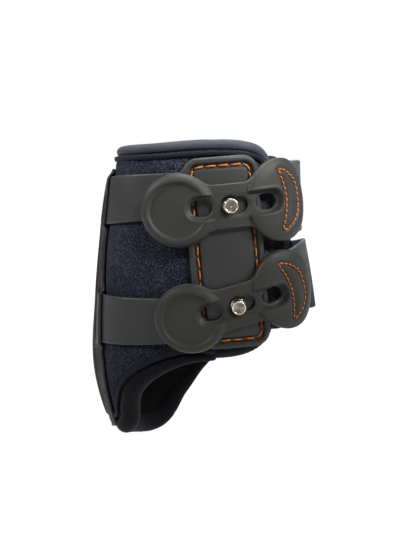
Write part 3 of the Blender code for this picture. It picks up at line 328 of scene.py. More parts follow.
class Wall:
    """The liner's outer face: a rounded oval round the leg that changes with height."""

    HEIGHT = 0.205
    FRONT = 0.0735
    REAR = 0.0622
    SIDE = 0.051
    SQUARENESS = 2.5
    LEVELS = 82
    SHARES = 2400

    def __init__(self) -> None:
        self.heights = np.linspace(0, self.HEIGHT, self.LEVELS + 1)
        turns = np.linspace(-2 * math.pi, 2 * math.pi, 2 * 1440 + 1)
        grid = np.linspace(-1, 1, self.SHARES + 1)
        self.girths = np.empty(self.LEVELS + 1)
        self.turn_table = np.empty((self.LEVELS + 1, self.SHARES + 1))
        for k, height in enumerate(self.heights):
            ring = self.point(turns, np.full(turns.shape, height))
            arcs = along_of(ring)
            arcs -= arcs[1440]
            self.girths[k] = arcs[1440 + 720] - arcs[720]
            self.turn_table[k] = np.interp(grid, arcs / self.girths[k], turns)
        self.pattern_girth = self.girth(self.HEIGHT / 2)

    def reach(self, length: float, shares: Sequence[float], height: Array) -> Array:
        """A reach from the axis at some heights, from a smooth curve through its levels."""
        at = np.clip(np.asarray(height, float) / self.HEIGHT, 0, 1)
        knots = np.asarray(LEVEL_SHARES)
        values = np.asarray(shares)
        slopes = np.diff(values) / np.diff(knots)
        tangents = np.concatenate([slopes[:1], (slopes[:-1] + slopes[1:]) / 2, slopes[-1:]])
        i = np.clip(np.searchsorted(knots, at) - 1, 0, len(knots) - 2)
        span = knots[i + 1] - knots[i]
        t = (at - knots[i]) / span
        rise = t * t * (3 - 2 * t)
        bow = t * (1 - t) ** 2 * tangents[i] + t * t * (t - 1) * tangents[i + 1]
        return length * (values[i] * (1 - rise) + values[i + 1] * rise + span * bow)

    def point(self, turn: Array, height: Array) -> Array:
        """Points of the wall, from turns about the axis and heights."""
        front = self.reach(self.FRONT, FRONT_SHARES, height)
        rear = self.reach(self.REAR, REAR_SHARES, height)
        side = self.reach(self.SIDE, SIDE_SHARES, height)
        forward, across = np.sin(turn), -np.cos(turn)
        lengthwise = np.where(forward > 0, front, rear)
        squared = np.abs(forward / lengthwise) ** self.SQUARENESS
        squared = squared + np.abs(across / side) ** self.SQUARENESS
        radius = squared ** (-1 / self.SQUARENESS)
        return np.stack([radius * forward, radius * across, height + 0 * radius], axis=-1)

    def normal(self, turn: Array, height: Array) -> Array:
        """Unit normals of the wall, pointing away from the leg."""
        small = 1e-4
        rise = small * self.HEIGHT
        height = np.clip(height, 2 * rise, self.HEIGHT - 2 * rise)
        round_it = self.point(turn + small, height) - self.point(turn - small, height)
        up_it = self.point(turn, height + rise) - self.point(turn, height - rise)
        normal = np.cross(round_it, up_it)
        return normal / np.linalg.norm(normal, axis=-1, keepdims=True)

    def girth(self, height: Array) -> Array:
        """The length once round the wall at some heights."""
        return np.interp(height, self.heights, self.girths)

    def turn(self, share: Array, height: Array) -> Array:
        """Turns about the axis, from shares of the girth and heights."""
        level = np.clip(np.asarray(height, float) / self.HEIGHT, 0, 1) * self.LEVELS
        low = np.minimum(level.astype(int), self.LEVELS - 1)
        place = (np.clip(share, -1, 1) + 1) / 2 * self.SHARES
        left = np.minimum(place.astype(int), self.SHARES - 1)
        up, right = level - low, place - left
        lower = self.turn_table[low, left] * (1 - right) + self.turn_table[low, left + 1] * right
        upper = self.turn_table[low + 1, left] * (1 - right)
        upper = upper + self.turn_table[low + 1, left + 1] * right
        return lower * (1 - up) + upper * up

    def lay(self, flat: Array, stretched: bool) -> tuple[Array, Array]:
        """Lays flat points round the wall.

        Args:
            flat: rows of place round the leg, height and lift, in metres.
            stretched: whether the pattern is eased to the girth at each height, as the soft
                wrap is, or keeps its true length, as the closure's pieces do.

        Returns:
            The world points and the wall's normals there.
        """
        flat = np.asarray(flat, float)
        height = flat[:, 1]
        girth = self.pattern_girth if stretched else self.girth(height)
        turn = self.turn(flat[:, 0] / girth, height)
        normal = self.normal(turn, height)
        return self.point(turn, height) + flat[:, 2:3] * normal, normal

    def flat(self, shares: Sequence) -> Array:
        """Flat points from shares of the pattern's girth and of the wall's height."""
        return np.asarray(shares, float) * (self.pattern_girth, self.HEIGHT)


WALL = Wall()


class Outline:
    """A closed line on the flat, from which distances are measured."""

    CHUNK = 3000

    def __init__(self, points: Array) -> None:
        points = np.asarray(points, float)
        following = np.roll(points, -1, axis=0)
        area = np.sum(points[:, 0] * following[:, 1] - following[:, 0] * points[:, 1])
        self.points = points if area > 0 else points[::-1].copy()

    def signed(self, xy: Array) -> Array:
        """Distances from the line, below zero inside it."""
        start = self.points
        span = np.roll(start, -1, axis=0) - start
        length2 = np.maximum(np.sum(span**2, axis=1), 1e-18)
        rises = start[:, 1] + span[:, 1]
        result = np.empty(len(xy))
        for first in range(0, len(xy), self.CHUNK):
            at = xy[first : first + self.CHUNK, None, :]
            to = at - start
            t = np.clip(np.sum(to * span, axis=2) / length2, 0, 1)
            apart = np.linalg.norm(to - t[..., None] * span, axis=2).min(axis=1)
            crossing = (start[:, 1] > at[..., 1]) != (rises > at[..., 1])
            with np.errstate(divide="ignore", invalid="ignore"):
                where = span[:, 0] * to[..., 1] / span[:, 1] + start[:, 0]
            inside = np.sum(crossing & (at[..., 0] < where), axis=1) % 2 == 1
            result[first : first + self.CHUNK] = np.where(inside, -apart, apart)
        return result

    def inset(self, distance: float, step: float) -> Array:
        """Points of the line moved inwards, without those that a corner crowds out."""
        line = evenly(self.points, step, closed=True)
        tangent = np.roll(line, -1, axis=0) - np.roll(line, 1, axis=0)
        tangent /= np.linalg.norm(tangent, axis=1, keepdims=True)
        inward = np.stack([-tangent[:, 1], tangent[:, 0]], axis=1)
        moved = line + distance * inward
        if distance == 0:
            return moved
        clear = np.abs(self.signed(moved)) > 0.93 * abs(distance)
        return moved[clear]


class Profile:
    """A height that depends on one distance, rounded where its straight runs meet."""

    def __init__(self, distances: Sequence[float], heights: Sequence[float], soft: float) -> None:
        self.at = np.linspace(distances[0], distances[-1], 1200)
        rough = np.interp(self.at, distances, heights)
        pad = max(1, round(2.5 * soft / (self.at[1] - self.at[0])))
        weights = np.exp(-0.5 * (np.arange(-pad, pad + 1) / pad * 2.5) ** 2)
        padded = np.pad(rough, pad, mode="edge")
        self.heights = np.convolve(padded, weights / weights.sum(), mode="valid")

    def __call__(self, distance: Array) -> Array:
        return np.interp(distance, self.at, self.heights)


@dataclass
class FlatMesh:
    """A mesh on the flat: points, triangles, its rim's edges and each point's nearness to the edge.
    """

    points: Array
    faces: Array
    rim: Array
    wear: Array


@dataclass
class Moulding:
    """A moulded piece: outlines filled with a fine surface whose height follows a rule.

    Attributes:
        outer: the piece's outline.
        holes: the outlines of its holes.
        top: the height of its upper face, from flat places.
        step: how far apart the surface's points lie.
        edge_step: how far apart the outline's points lie.
        edge_radius: the rounding of its upper edges.
        bottom: the height of its lower face, from flat places; level where it isn't given.
        guides: lines of the relief, along which points are added.
    """

    outer: Outline
    top: Callable[[Array], Array]
    step: float
    edge_step: float
    edge_radius: float
    holes: list[Outline] = field(default_factory=list)
    bottom: Callable[[Array], Array] | None = None
    guides: list[Array] = field(default_factory=list)

    def depth(self, xy: Array) -> Array:
        """How far places lie inside the outlines; below zero in a hole or outside."""
        depth = -self.outer.signed(xy)
        for hole in self.holes:
            depth = np.minimum(depth, hole.signed(xy))
        return depth

    def places(self) -> tuple[list, list]:
        """The flat places to join up, and the outlines' edges among them."""
        points, edges = [], []
        for loop in (self.outer, *self.holes):
            line = evenly(loop.points, self.edge_step, closed=True)
            first = sum(len(p) for p in points)
            count = len(line)
            points.append(line)
            edges += [(first + k, first + (k + 1) % count) for k in range(count)]
        rings = []
        for share in (0.12, 0.35, 0.68, 1.0):
            distance = share * self.edge_radius
            rings.append(self.outer.inset(distance, self.edge_step))
            rings += [hole.inset(-distance, self.edge_step) for hole in self.holes]
        rings = np.vstack(rings)
        depth = self.depth(rings)
        near = 0.08 * self.edge_radius
        rings = rings[depth > near]
        guides = np.vstack(self.guides) if self.guides else np.empty((0, 2))
        if len(guides):
            guides = guides[self.depth(guides) > 1.15 * self.edge_radius]
        low, high = self.outer.points.min(axis=0), self.outer.points.max(axis=0)
        rows = np.arange(low[1], high[1], self.step * math.sqrt(3) / 2)
        grid = [
            np.stack([np.arange(low[0] + (k % 2) * self.step / 2, high[0], self.step)] * 2, axis=1)
            for k in range(len(rows))
        ]
        for row, height in zip(grid, rows):
            row[:, 1] = height
        grid = np.vstack(grid)
        grid = grid[self.depth(grid) > self.edge_radius + 0.45 * self.step]
        if len(guides):
            clear = np.ones(len(grid), bool)
            for first in range(0, len(grid), 2000):
                part = grid[first : first + 2000]
                apart = np.linalg.norm(part[:, None] - guides, axis=2).min(axis=1)
                clear[first : first + 2000] = apart > 0.45 * self.step
            grid = grid[clear]
        points += [rings, guides, grid]
        return np.vstack(points), edges

    def build(self) -> FlatMesh:
        """Joins the places up into a closed mesh with rounded upper edges."""
        places, edges = self.places()
        vectors = [Vector(place) for place in places.tolist()]
        found = delaunay_2d_cdt(vectors, edges, [], 0, 1e-7)
        xy = np.array([tuple(v) for v in found[0]])
        faces = np.array([face for face in found[2] if len(face) == 3])
        centre = xy[faces].mean(axis=1)
        faces = faces[self.depth(centre) > 0]
        a, b, c = (xy[faces[:, k]] for k in range(3))
        area = (b - a)[:, 0] * (c - a)[:, 1] - (b - a)[:, 1] * (c - a)[:, 0]
        faces = faces[np.abs(area) > 1e-12]
        area = area[np.abs(area) > 1e-12]
        faces[area < 0] = faces[area < 0][:, ::-1]
        used, faces = np.unique(faces, return_inverse=True)
        faces = faces.reshape(-1, 3)
        xy = xy[used]
        depth = np.maximum(self.depth(xy), 0)
        short = np.clip(self.edge_radius - depth, 0, self.edge_radius)
        drop = self.edge_radius - np.sqrt(np.maximum(self.edge_radius**2 - short**2, 0))
        top = self.top(xy) - drop
        count = len(xy)
        low = self.bottom(xy) if self.bottom else np.zeros(count)
        points = np.vstack([np.column_stack([xy, top]), np.column_stack([xy, low])])
        directed = np.vstack([faces[:, [0, 1]], faces[:, [1, 2]], faces[:, [2, 0]]])
        keys = directed[:, 0] * count + directed[:, 1]
        back = directed[:, 1] * count + directed[:, 0]
        rim = directed[~np.isin(keys, back)]
        sides = np.vstack([
            np.column_stack([rim[:, 0] + count, rim[:, 1] + count, rim[:, 1]]),
            np.column_stack([rim[:, 0] + count, rim[:, 1], rim[:, 0]]),
        ])
        # Nearness to the edge, which the moulded finishes turn into a painted edge highlight.
        wear = np.clip(1 - depth / (1.6 * self.edge_radius), 0, 1)
        return FlatMesh(
            points=points,
            faces=np.vstack([faces, faces[:, ::-1] + count, sides]),
            rim=sides,
            wear=np.concatenate([wear, 0 * wear]),
        )


def grid_faces(index: Array) -> Array:
    """Four-sided faces between the rows of a grid whose rows are rings."""
    a, b = index[:-1], index[1:]
    return np.stack([a, b, np.roll(b, -1, axis=1), np.roll(a, -1, axis=1)], axis=-1).reshape(-1, 4)


def tinted(red: float, green: float, blue: float) -> tuple[float, float, float, float]:
    """A colour as shaders take it, from display values between 0 and 255."""
    levels = [value / 255 for value in (red, green, blue)]
    linear = [v / 12.92 if v <= 0.04045 else ((v + 0.055) / 1.055) ** 2.4 for v in levels]
    return (*linear, 1.0)


class Value:
    """An output in a node tree that can be added, taken away, multiplied and divided."""

    def __init__(self, tree: "Tree", socket: Socket) -> None:
        self.tree = tree
        self.socket = socket

    def __add__(self, other: object) -> "Value":
        return self.tree.math("ADD", self, other)

    def __sub__(self, other: object) -> "Value":
        return self.tree.math("SUBTRACT", self, other)

    def __rsub__(self, other: object) -> "Value":
        return self.tree.math("SUBTRACT", other, self)

    def __mul__(self, other: object) -> "Value":
        return self.tree.math("MULTIPLY", self, other)

    def __truediv__(self, other: object) -> "Value":
        return self.tree.math("DIVIDE", self, other)


class Tree:
    """A node tree put together with short calls."""

    def __init__(self, tree: NodeTree) -> None:
        self.tree = tree

    def add(self, kind: str, inputs: dict | None = None, **settings) -> bpy.types.Node:
        """Adds a node.

        Args:
            kind: the node's type.
            inputs: what its inputs are set to or fed from, by name or number.
            settings: the node's own settings.

        Returns:
            The node.
        """
        node = self.tree.nodes.new(kind)
        for key, value in settings.items():
            setattr(node, key, value)
        for key, value in (inputs or {}).items():
            self.feed(node.inputs[key], value)
        return node

    def out(self, kind: str, output: str | int, inputs: dict | None = None, **settings) -> Value:
        """One output of a node that is added."""
        return Value(self, self.add(kind, inputs, **settings).outputs[output])

    def outs(self, kind: str, inputs: dict | None = None, **settings) -> dict[str, Value]:
        """Every output of a node that is added, by name."""
        return {out.name: Value(self, out) for out in self.add(kind, inputs, **settings).outputs}

    def feed(self, socket: Socket, value: object) -> None:
        """Links a socket to a value, or sets it to a plain number or colour."""
        if isinstance(value, Value):
            self.tree.links.new(value.socket, socket)
        else:
            socket.default_value = value

    def math(self, operation: str, *values: object, clamp: bool = False) -> Value:
        """The result of a Math node on values or numbers."""
        inputs = dict(enumerate(values))
        return self.out("ShaderNodeMath", 0, inputs, operation=operation, use_clamp=clamp)

    def mix(self, factor: object, first: object, second: object) -> Value:
        """A colour between two colours; plain ones are in display values."""
        pair = [tinted(*c) if isinstance(c, tuple) else c for c in (first, second)]
        inputs = {0: factor, 6: pair[0], 7: pair[1]}
        return self.out("ShaderNodeMix", 2, inputs, data_type="RGBA")

    def map(self, value: object, *limits: float) -> Value:
        """A value moved smoothly from between two limits to between two others."""
        inputs = dict(enumerate((value, *limits)))
        return self.out("ShaderNodeMapRange", 0, inputs, interpolation_type="SMOOTHSTEP")

    def noise(self, scale: object, detail: float, roughness: float = 0.5) -> Value:
        """Noise over the object."""
        place = self.out("ShaderNodeTexCoord", "Object")
        inputs = {"Vector": place, "Scale": scale, "Detail": detail, "Roughness": roughness}
        return self.out("ShaderNodeTexNoise", "Fac", inputs)

    def edge_mask(self) -> Value:
        """How near a place lies to the piece's edge or rim, from the piece's own attribute."""
        return self.out("ShaderNodeAttribute", "Fac", attribute_name="wear")

    def cells(self) -> tuple[Value, Value]:
        """The two directions of a piece's own flat pattern, in metres."""
        flat = self.out("ShaderNodeUVMap", "UV", uv_map="flat")
        parts = self.add("ShaderNodeSeparateXYZ", {"Vector": flat})
        return Value(self, parts.outputs["X"]), Value(self, parts.outputs["Y"])

    def wave(self, turns: Value) -> Value:
        """A wave from -1 to 1, from how many turns it has made."""
        return self.math("SINE", turns * (2 * math.pi))


class Effect(Enum):
    """The effects that several materials share: each one's title, inputs and outputs."""

    GRAIN = ("Fine Grain", {"Scale": 1600.0, "Coarse Share": 0.4}, ("Height", "Fleck"))
    # The mask of the painted highlight along moulded edges.
    WEAR = ("Edge Wear", {"Break Scale": 260.0}, ("Mask",))
    KNIT = ("Knit Cells", {"Pitch": 0.0010, "Unevenness": 0.55}, ("Height", "Dash"))
    WEB = ("Woven Web", {"Rib Pitch": 0.0013, "Pick Pitch": 0.0007}, ("Height", "Rib"))
    RIB = ("Rib Knit", {"Pitch": 0.0011}, ("Height",))
    TWIST = ("Thread Twist", {"Pitch": 0.0009}, ("Height", "Ply"))
    CLOUD = ("Soft Cloud", {"Scale": 30.0}, ("Value",))
    RINGS = ("Turned Rings", {"Pitch": 0.00016}, ("Height", "Ring"))


class EffectShelf:
    """Builds each shared effect the first time that it is asked for."""

    def __init__(self) -> None:
        self.built: dict[Effect, NodeTree] = {}

    def get(self, effect: Effect) -> NodeTree:
        """The node group of an effect, which holds the rule below that has the effect's name."""
        if effect not in self.built:
            title, inputs, outputs = effect.value
            group = bpy.data.node_groups.new(title, "ShaderNodeTree")
            for names, way in ((inputs, "INPUT"), (outputs, "OUTPUT")):
                for name in names:
                    socket = group.interface.new_socket(
                        name, in_out=way, socket_type="NodeSocketFloat"
                    )
                    if way == "INPUT":
                        socket.default_value = inputs[name]
            tree = Tree(group)
            given = tree.add("NodeGroupInput").outputs
            rule = getattr(self, effect.name.lower())
            results = rule(tree, *[Value(tree, given[name]) for name in inputs])
            tree.add("NodeGroupOutput", dict(zip(outputs, results)))
            self.built[effect] = group
        return self.built[effect]

    def grain(self, tree: Tree, scale: Value, coarse_share: Value) -> tuple:
        """Matt mould grain: two sizes of noise, the finer one on top."""
        fine = tree.noise(scale, 3.0, 0.6)
        coarse = tree.noise(scale * 0.28, 2.0)
        height = coarse * coarse_share + fine * (1.0 - coarse_share)
        return height, tree.map(fine, 0.58, 0.78, 0.0, 1.0)

    def wear(self, tree: Tree, break_scale: Value) -> tuple:
        """Painted edge highlight: the piece's own nearness to its edge, broken up by noise."""
        broken = tree.map(tree.noise(break_scale, 4.0), 0.3, 0.7, 0.25, 1.0)
        edge = tree.map(tree.edge_mask(), 0.25, 1.0, 0.0, 1.0)
        return (tree.math("MULTIPLY", edge, broken, clamp=True),)

    def knit(self, tree: Tree, pitch: Value, uneven: Value) -> tuple:
        """Perforated knit: slanting rows of raised cells, each of its own height."""
        u, v = tree.cells()
        ways = ((u + v * 0.62) / pitch, (v - u * 0.45) / (pitch * 1.6))
        column, row = (tree.math("FLOOR", way) for way in ways)
        cell = tree.out("ShaderNodeCombineXYZ", 0, {"X": column, "Y": row})
        chance = tree.out("ShaderNodeTexWhiteNoise", "Value", {"Vector": cell})
        across, along = (tree.math("SINE", tree.math("FRACT", way) * math.pi) for way in ways)
        mound = across * along
        height = mound * (1.0 - uneven + chance * uneven)
        return height, mound * tree.map(chance, 0.25, 1.0, 0.0, 1.0)

    def web(self, tree: Tree, rib_pitch: Value, pick_pitch: Value) -> tuple:
        """Woven elastic: ribs along the strap, crossed by fine picks."""
        u, v = tree.cells()
        ribs = tree.wave(v / rib_pitch)
        picks = tree.wave(u / pick_pitch + tree.math("SIGN", ribs) * 0.25)
        height = tree.map(ribs * 0.55 + picks * 0.45, -1.0, 1.0, 0.0, 1.0)
        return height, tree.map(ribs, -0.6, 0.8, 0.0, 1.0)

    def rib(self, tree: Tree, pitch: Value) -> tuple:
        """Ribbed knit tape: round ribs across the tape with a little yarn grain."""
        u, v = tree.cells()
        ribs = tree.wave(u / pitch) + tree.wave(v / (pitch * 0.6)) * 0.3
        return (tree.map(ribs, -1.2, 1.2, 0.0, 1.0),)

    def twist(self, tree: Tree, pitch: Value) -> tuple:
        """Twisted thread: slanting plies that run round it."""
        u, v = tree.cells()
        ply = tree.wave(u / pitch + v)
        return tree.map(ply, -1.0, 1.0, 0.0, 1.0), tree.map(ply, -0.9, 0.4, 0.0, 1.0)

    def cloud(self, tree: Tree, scale: Value) -> tuple:
        """A slow, soft change over the surface."""
        return (tree.map(tree.noise(scale, 5.0, 0.55), 0.3, 0.7, 0.0, 1.0),)

    def rings(self, tree: Tree, pitch: Value) -> tuple:
        """Turning marks: uneven rings round a turned piece, from its own flat pattern."""
        _, v = tree.cells()
        inputs = {"W": v / pitch, "Scale": 1.0, "Detail": 2.0}
        rings = tree.out("ShaderNodeTexNoise", "Fac", inputs, noise_dimensions="1D")
        return rings, tree.map(rings, 0.35, 0.65, 0.0, 1.0)


SHELF = EffectShelf()


class Dress(Tree):
    """A material in the making: its tree, its shader and the effects placed in it."""

    def __init__(self, name: str) -> None:
        self.material = bpy.data.materials.new(name)
        self.material.use_nodes = True
        super().__init__(self.material.node_tree)
        self.shader = self.tree.nodes["Principled BSDF"]

    def effect(self, effect: Effect, **values: float) -> dict[str, Value]:
        """The outputs of a shared effect that is placed with this material's own values."""
        inputs = {key.replace("_", " ").title(): value for key, value in values.items()}
        return self.outs("ShaderNodeGroup", inputs, node_tree=SHELF.get(effect))

    def cloud(self, scale: float) -> Value:
        """A slow, soft change over the surface."""
        return self.effect(Effect.CLOUD, scale=scale)["Value"]

    def set(self, **values: object) -> None:
        """Sets or feeds the shader's own sockets."""
        for key, value in values.items():
            name = key.replace("_", " ").title().replace("Ior", "IOR")
            self.feed(self.shader.inputs[name], value)

    def finish(self, height: Value, depth: float, strength: float = 1.0,
               **values: object) -> Material:
        """The material, with its sockets set and its relief added.

        Args:
            height: the relief, 0 to 1.
            depth: how deep the relief is, in metres.
            strength: how much of it shows.
            values: what the shader's sockets are set to or fed from.

        Returns:
            The material.
        """
        bump = {"Height": height, "Distance": depth, "Strength": strength}
        self.set(**values, normal=self.out("ShaderNodeBump", "Normal", bump))
        return self.material


class Finishes:
    """Every material of the boot, each made once. Colours are in display values."""

    def __init__(self) -> None:
        self.knit = self.knitted("perforated knit", (13, 16, 28), (58, 62, 83), (132, 138, 164))
        self.inner = self.jersey("lining jersey", (9, 10, 14), (14, 15, 20), 0.75)
        # The top and cup rolls share one cover cloth: the top roll's colour is painted lighter as
        # painted top light, the cup roll's darker as painted shade.
        self.roll = self.jersey("top roll cover with painted top light", (72, 74, 83), (82, 84, 94), 0.62)
        self.cup = self.jersey("cup roll cover with painted shade", (6, 7, 13), (10, 11, 19), 0.75)
        self.piping = self.jersey("folded piping", (26, 27, 38), (36, 37, 50), 0.7)
        self.tape = self.ribbed("ribbed tape", (10, 10, 15), (30, 31, 41))
        # The shell's dark colour is partly its own and partly painted shade on its left-facing
        # strip.
        self.shell = self.moulded(
            "shell moulding", (27, 28, 28), (35, 36, 36), (88, 88, 85), 0.50
        )
        self.plate = self.moulded(
            "plate moulding", (57, 58, 57), (65, 66, 65), (128, 127, 120), 0.48
        )
        self.rubber = self.moulded(
            "tab rubber", (59, 59, 57), (65, 65, 62), (111, 110, 106), 0.55, 1900.0, 0.00004
        )
        self.web = self.woven("woven elastic", (44, 45, 49), (93, 95, 101), (112, 130, 138))
        self.thread = self.twisted("orange thread", (255, 156, 52), (212, 96, 24))
        # The same orange thread as the other seams, painted darker as painted shade in the shell's
        # sunk seam.
        self.shell_thread = self.twisted("orange thread with painted shade", (128, 72, 32), (66, 36, 16))
        self.metal = self.turned("plated stud", (240, 232, 216), (108, 101, 90), 0.24)
        self.washer = self.turned("steel washer", (170, 170, 170), (120, 120, 120), 0.4)
        self.foam = self.foamed("shock foam", (120, 120, 124), (60, 60, 64))

    @staticmethod
    def moulded(name: str, colour: tuple, cloud_colour: tuple, fleck_and_highlight_colour: tuple,
                roughness: float, grain_scale: float = 1500.0,
                grain_depth: float = 0.00005) -> Material:
        """Matt moulded plastic or rubber with paler flecks, and a painted highlight along its upper
        edges.
        """
        dress = Dress(name)
        cloud = dress.cloud(38.0)
        grain = dress.effect(Effect.GRAIN, scale=grain_scale)
        edge_mask = dress.effect(Effect.WEAR)["Mask"]
        tone = dress.mix(cloud, colour, cloud_colour)
        tone = dress.mix(grain["Fleck"] * 0.22, tone, fleck_and_highlight_colour)
        # Painted highlight: every upper edge is mixed towards the paler colour.
        tone = dress.mix(edge_mask * 0.55, tone, fleck_and_highlight_colour)
        rough = dress.map(cloud, 0.0, 1.0, roughness - 0.05, roughness + 0.05) - edge_mask * 0.10
        return dress.finish(
            grain["Height"], grain_depth, base_color=tone, roughness=rough, specular_ior_level=0.35
        )

    @staticmethod
    def knitted(name: str, ground: tuple, raised: tuple, dash: tuple) -> Material:
        """Perforated knit over neoprene, with light dashes on its raised cells."""
        dress = Dress(name)
        knit = dress.effect(Effect.KNIT, pitch=0.00066)
        dashes = knit["Dash"] * dress.map(dress.cloud(55.0), 0, 1, 0.45, 0.9)
        tone = dress.mix(dashes, dress.mix(knit["Height"], ground, raised), dash)
        return dress.finish(
            knit["Height"], 0.00022, 0.9, base_color=tone, roughness=0.86,
            specular_ior_level=0.2, sheen_weight=0.04, sheen_roughness=0.4,
        )

    @staticmethod
    def jersey(name: str, colour: tuple, cloud_colour: tuple, roughness: float) -> Material:
        """Smooth stretched cover cloth over a soft roll."""
        dress = Dress(name)
        tone = dress.mix(dress.cloud(70.0), colour, cloud_colour)
        grain = dress.effect(Effect.GRAIN, scale=2600.0, coarse_share=0.25)["Height"]
        rough = dress.map(grain, 0.3, 0.7, roughness, roughness + 0.12)
        return dress.finish(
            grain, 0.00006, base_color=tone, roughness=rough, specular_ior_level=0.22,
            sheen_weight=0.03, sheen_roughness=0.35,
        )

    @staticmethod
    def woven(name: str, valley: tuple, rib: tuple, edge_band: tuple) -> Material:
        """Woven elastic."""
        dress = Dress(name)
        web = dress.effect(Effect.WEB, rib_pitch=0.0011, pick_pitch=0.0006)
        tone = dress.mix(web["Rib"], valley, rib)
        tone = dress.mix(dress.cloud(90.0) * 0.2, tone, valley)
        # Lighter blue-grey band along both edges: partly the strap's real selvedge, partly a
        # painted highlight.
        tone = dress.mix(dress.edge_mask(), tone, edge_band)
        return dress.finish(
            web["Height"], 0.0002, base_color=tone, roughness=0.8, sheen_weight=0.2
        )

    @staticmethod
    def ribbed(name: str, colour: tuple, rib_colour: tuple) -> Material:
        """Ribbed knit edging tape."""
        dress = Dress(name)
        rib = dress.effect(Effect.RIB)["Height"]
        tone = dress.mix(rib, colour, rib_colour)
        return dress.finish(rib, 0.0002, base_color=tone, roughness=0.85)

    @staticmethod
    def twisted(name: str, colour: tuple, shadow_colour: tuple) -> Material:
        """Twisted sewing thread."""
        dress = Dress(name)
        twist = dress.effect(Effect.TWIST)
        tone = dress.mix(twist["Ply"], shadow_colour, colour)
        return dress.finish(
            twist["Height"], 0.00012, base_color=tone, roughness=0.55, sheen_weight=0.2
        )

    @staticmethod
    def turned(name: str, colour: tuple, dull_colour: tuple, roughness: float) -> Material:
        """Turned and plated metal, bright on its rim and duller on its face."""
        dress = Dress(name)
        ring = dress.effect(Effect.RINGS)
        cloud = dress.cloud(420.0)
        face = (1.0 - dress.edge_mask()) * 0.65
        dull = dress.math("ADD", cloud * 0.35 + ring["Ring"] * 0.2, face, clamp=True)
        rough = dress.map(cloud, 0, 1, roughness - 0.06, roughness + 0.10) + face * 0.25
        return dress.finish(
            ring["Height"], 0.00002, base_color=dress.mix(dull, colour, dull_colour),
            roughness=rough, metallic=1.0,
        )

    @staticmethod
    def foamed(name: str, colour: tuple, cell_colour: tuple) -> Material:
        """Open-cell foam."""
        dress = Dress(name)
        grain = dress.effect(Effect.GRAIN, scale=900.0, coarse_share=0.5)["Height"]
        tone = dress.mix(grain, cell_colour, colour)
        return dress.finish(grain, 0.0004, base_color=tone, roughness=0.95)


class Piece:
    """A finished mesh object at the origin, with its place in its mesh."""

    @staticmethod
    def make(name: str, points: Array, faces: Array | list, material: Material,
             flat: Array | None = None, wear: Array | None = None,
             crease_deg: float = 50.0) -> Thing:
        """Makes a mesh object.

        Args:
            name: the piece's name.
            points: world points.
            faces: rows of point numbers.
            material: what it is made of.
            flat: the flat pattern's place of each point, in metres.
            wear: how near each point lies to an edge or rim, 0 to 1.
            crease_deg: the angle past which an edge stays crisp.

        Returns:
            The object.
        """
        mesh = bpy.data.meshes.new(name)
        points = np.asarray(points, float)
        faces = np.asarray(faces, np.int32)
        count, sides = faces.shape
        mesh.vertices.add(len(points))
        mesh.vertices.foreach_set("co", points.astype(np.float32).ravel())
        mesh.loops.add(count * sides)
        mesh.loops.foreach_set("vertex_index", faces.ravel())
        mesh.polygons.add(count)
        mesh.polygons.foreach_set("loop_start", np.arange(count, dtype=np.int32) * sides)
        mesh.update(calc_edges=True)
        if flat is not None:
            layer = mesh.uv_layers.new(name="flat")
            layer.data.foreach_set("uv", flat[faces.ravel(), :2].astype(np.float32).ravel())
        if wear is not None:
            edge_mask = mesh.attributes.new("wear", "FLOAT", "POINT")
            edge_mask.data.foreach_set("value", np.asarray(wear, np.float32))
        mesh.materials.append(material)
        mesh.shade_smooth()
        mesh.set_sharp_from_angle(angle=math.radians(crease_deg))
        mesh.validate()
        thing = bpy.data.objects.new(name, mesh)
        bpy.context.scene.collection.objects.link(thing)
        LOG.info("made %s: %d faces", name, count)
        return thing

    @staticmethod
    def moulded(name: str, flat: FlatMesh, points: Array, material: Material) -> Thing:
        """Makes a moulded piece from its flat mesh and its points round the wall."""
        return Piece.make(
            name, points, flat.faces, material, flat=flat.points, wear=flat.wear, crease_deg=55
        )

    @staticmethod
    def tube(centres: Array, sides: Array, outs: Array) -> tuple[Array, Array]:
        """A tube carried along a path.

        Args:
            centres: the path's points.
            sides: each section's offsets across the path, one row per path point.
            outs: each section's offsets away from the wall, along the given directions.

        Returns:
            The points and four-sided faces.
        """
        rows, around = sides.shape[:2]
        index = np.arange(rows * around).reshape(rows, around)
        a, b = index[:-1], index[1:]
        faces = np.stack([a, np.roll(a, -1, axis=1), np.roll(b, -1, axis=1), b], axis=-1)
        return (centres[:, None] + sides + outs).reshape(-1, 3), faces.reshape(-1, 4)


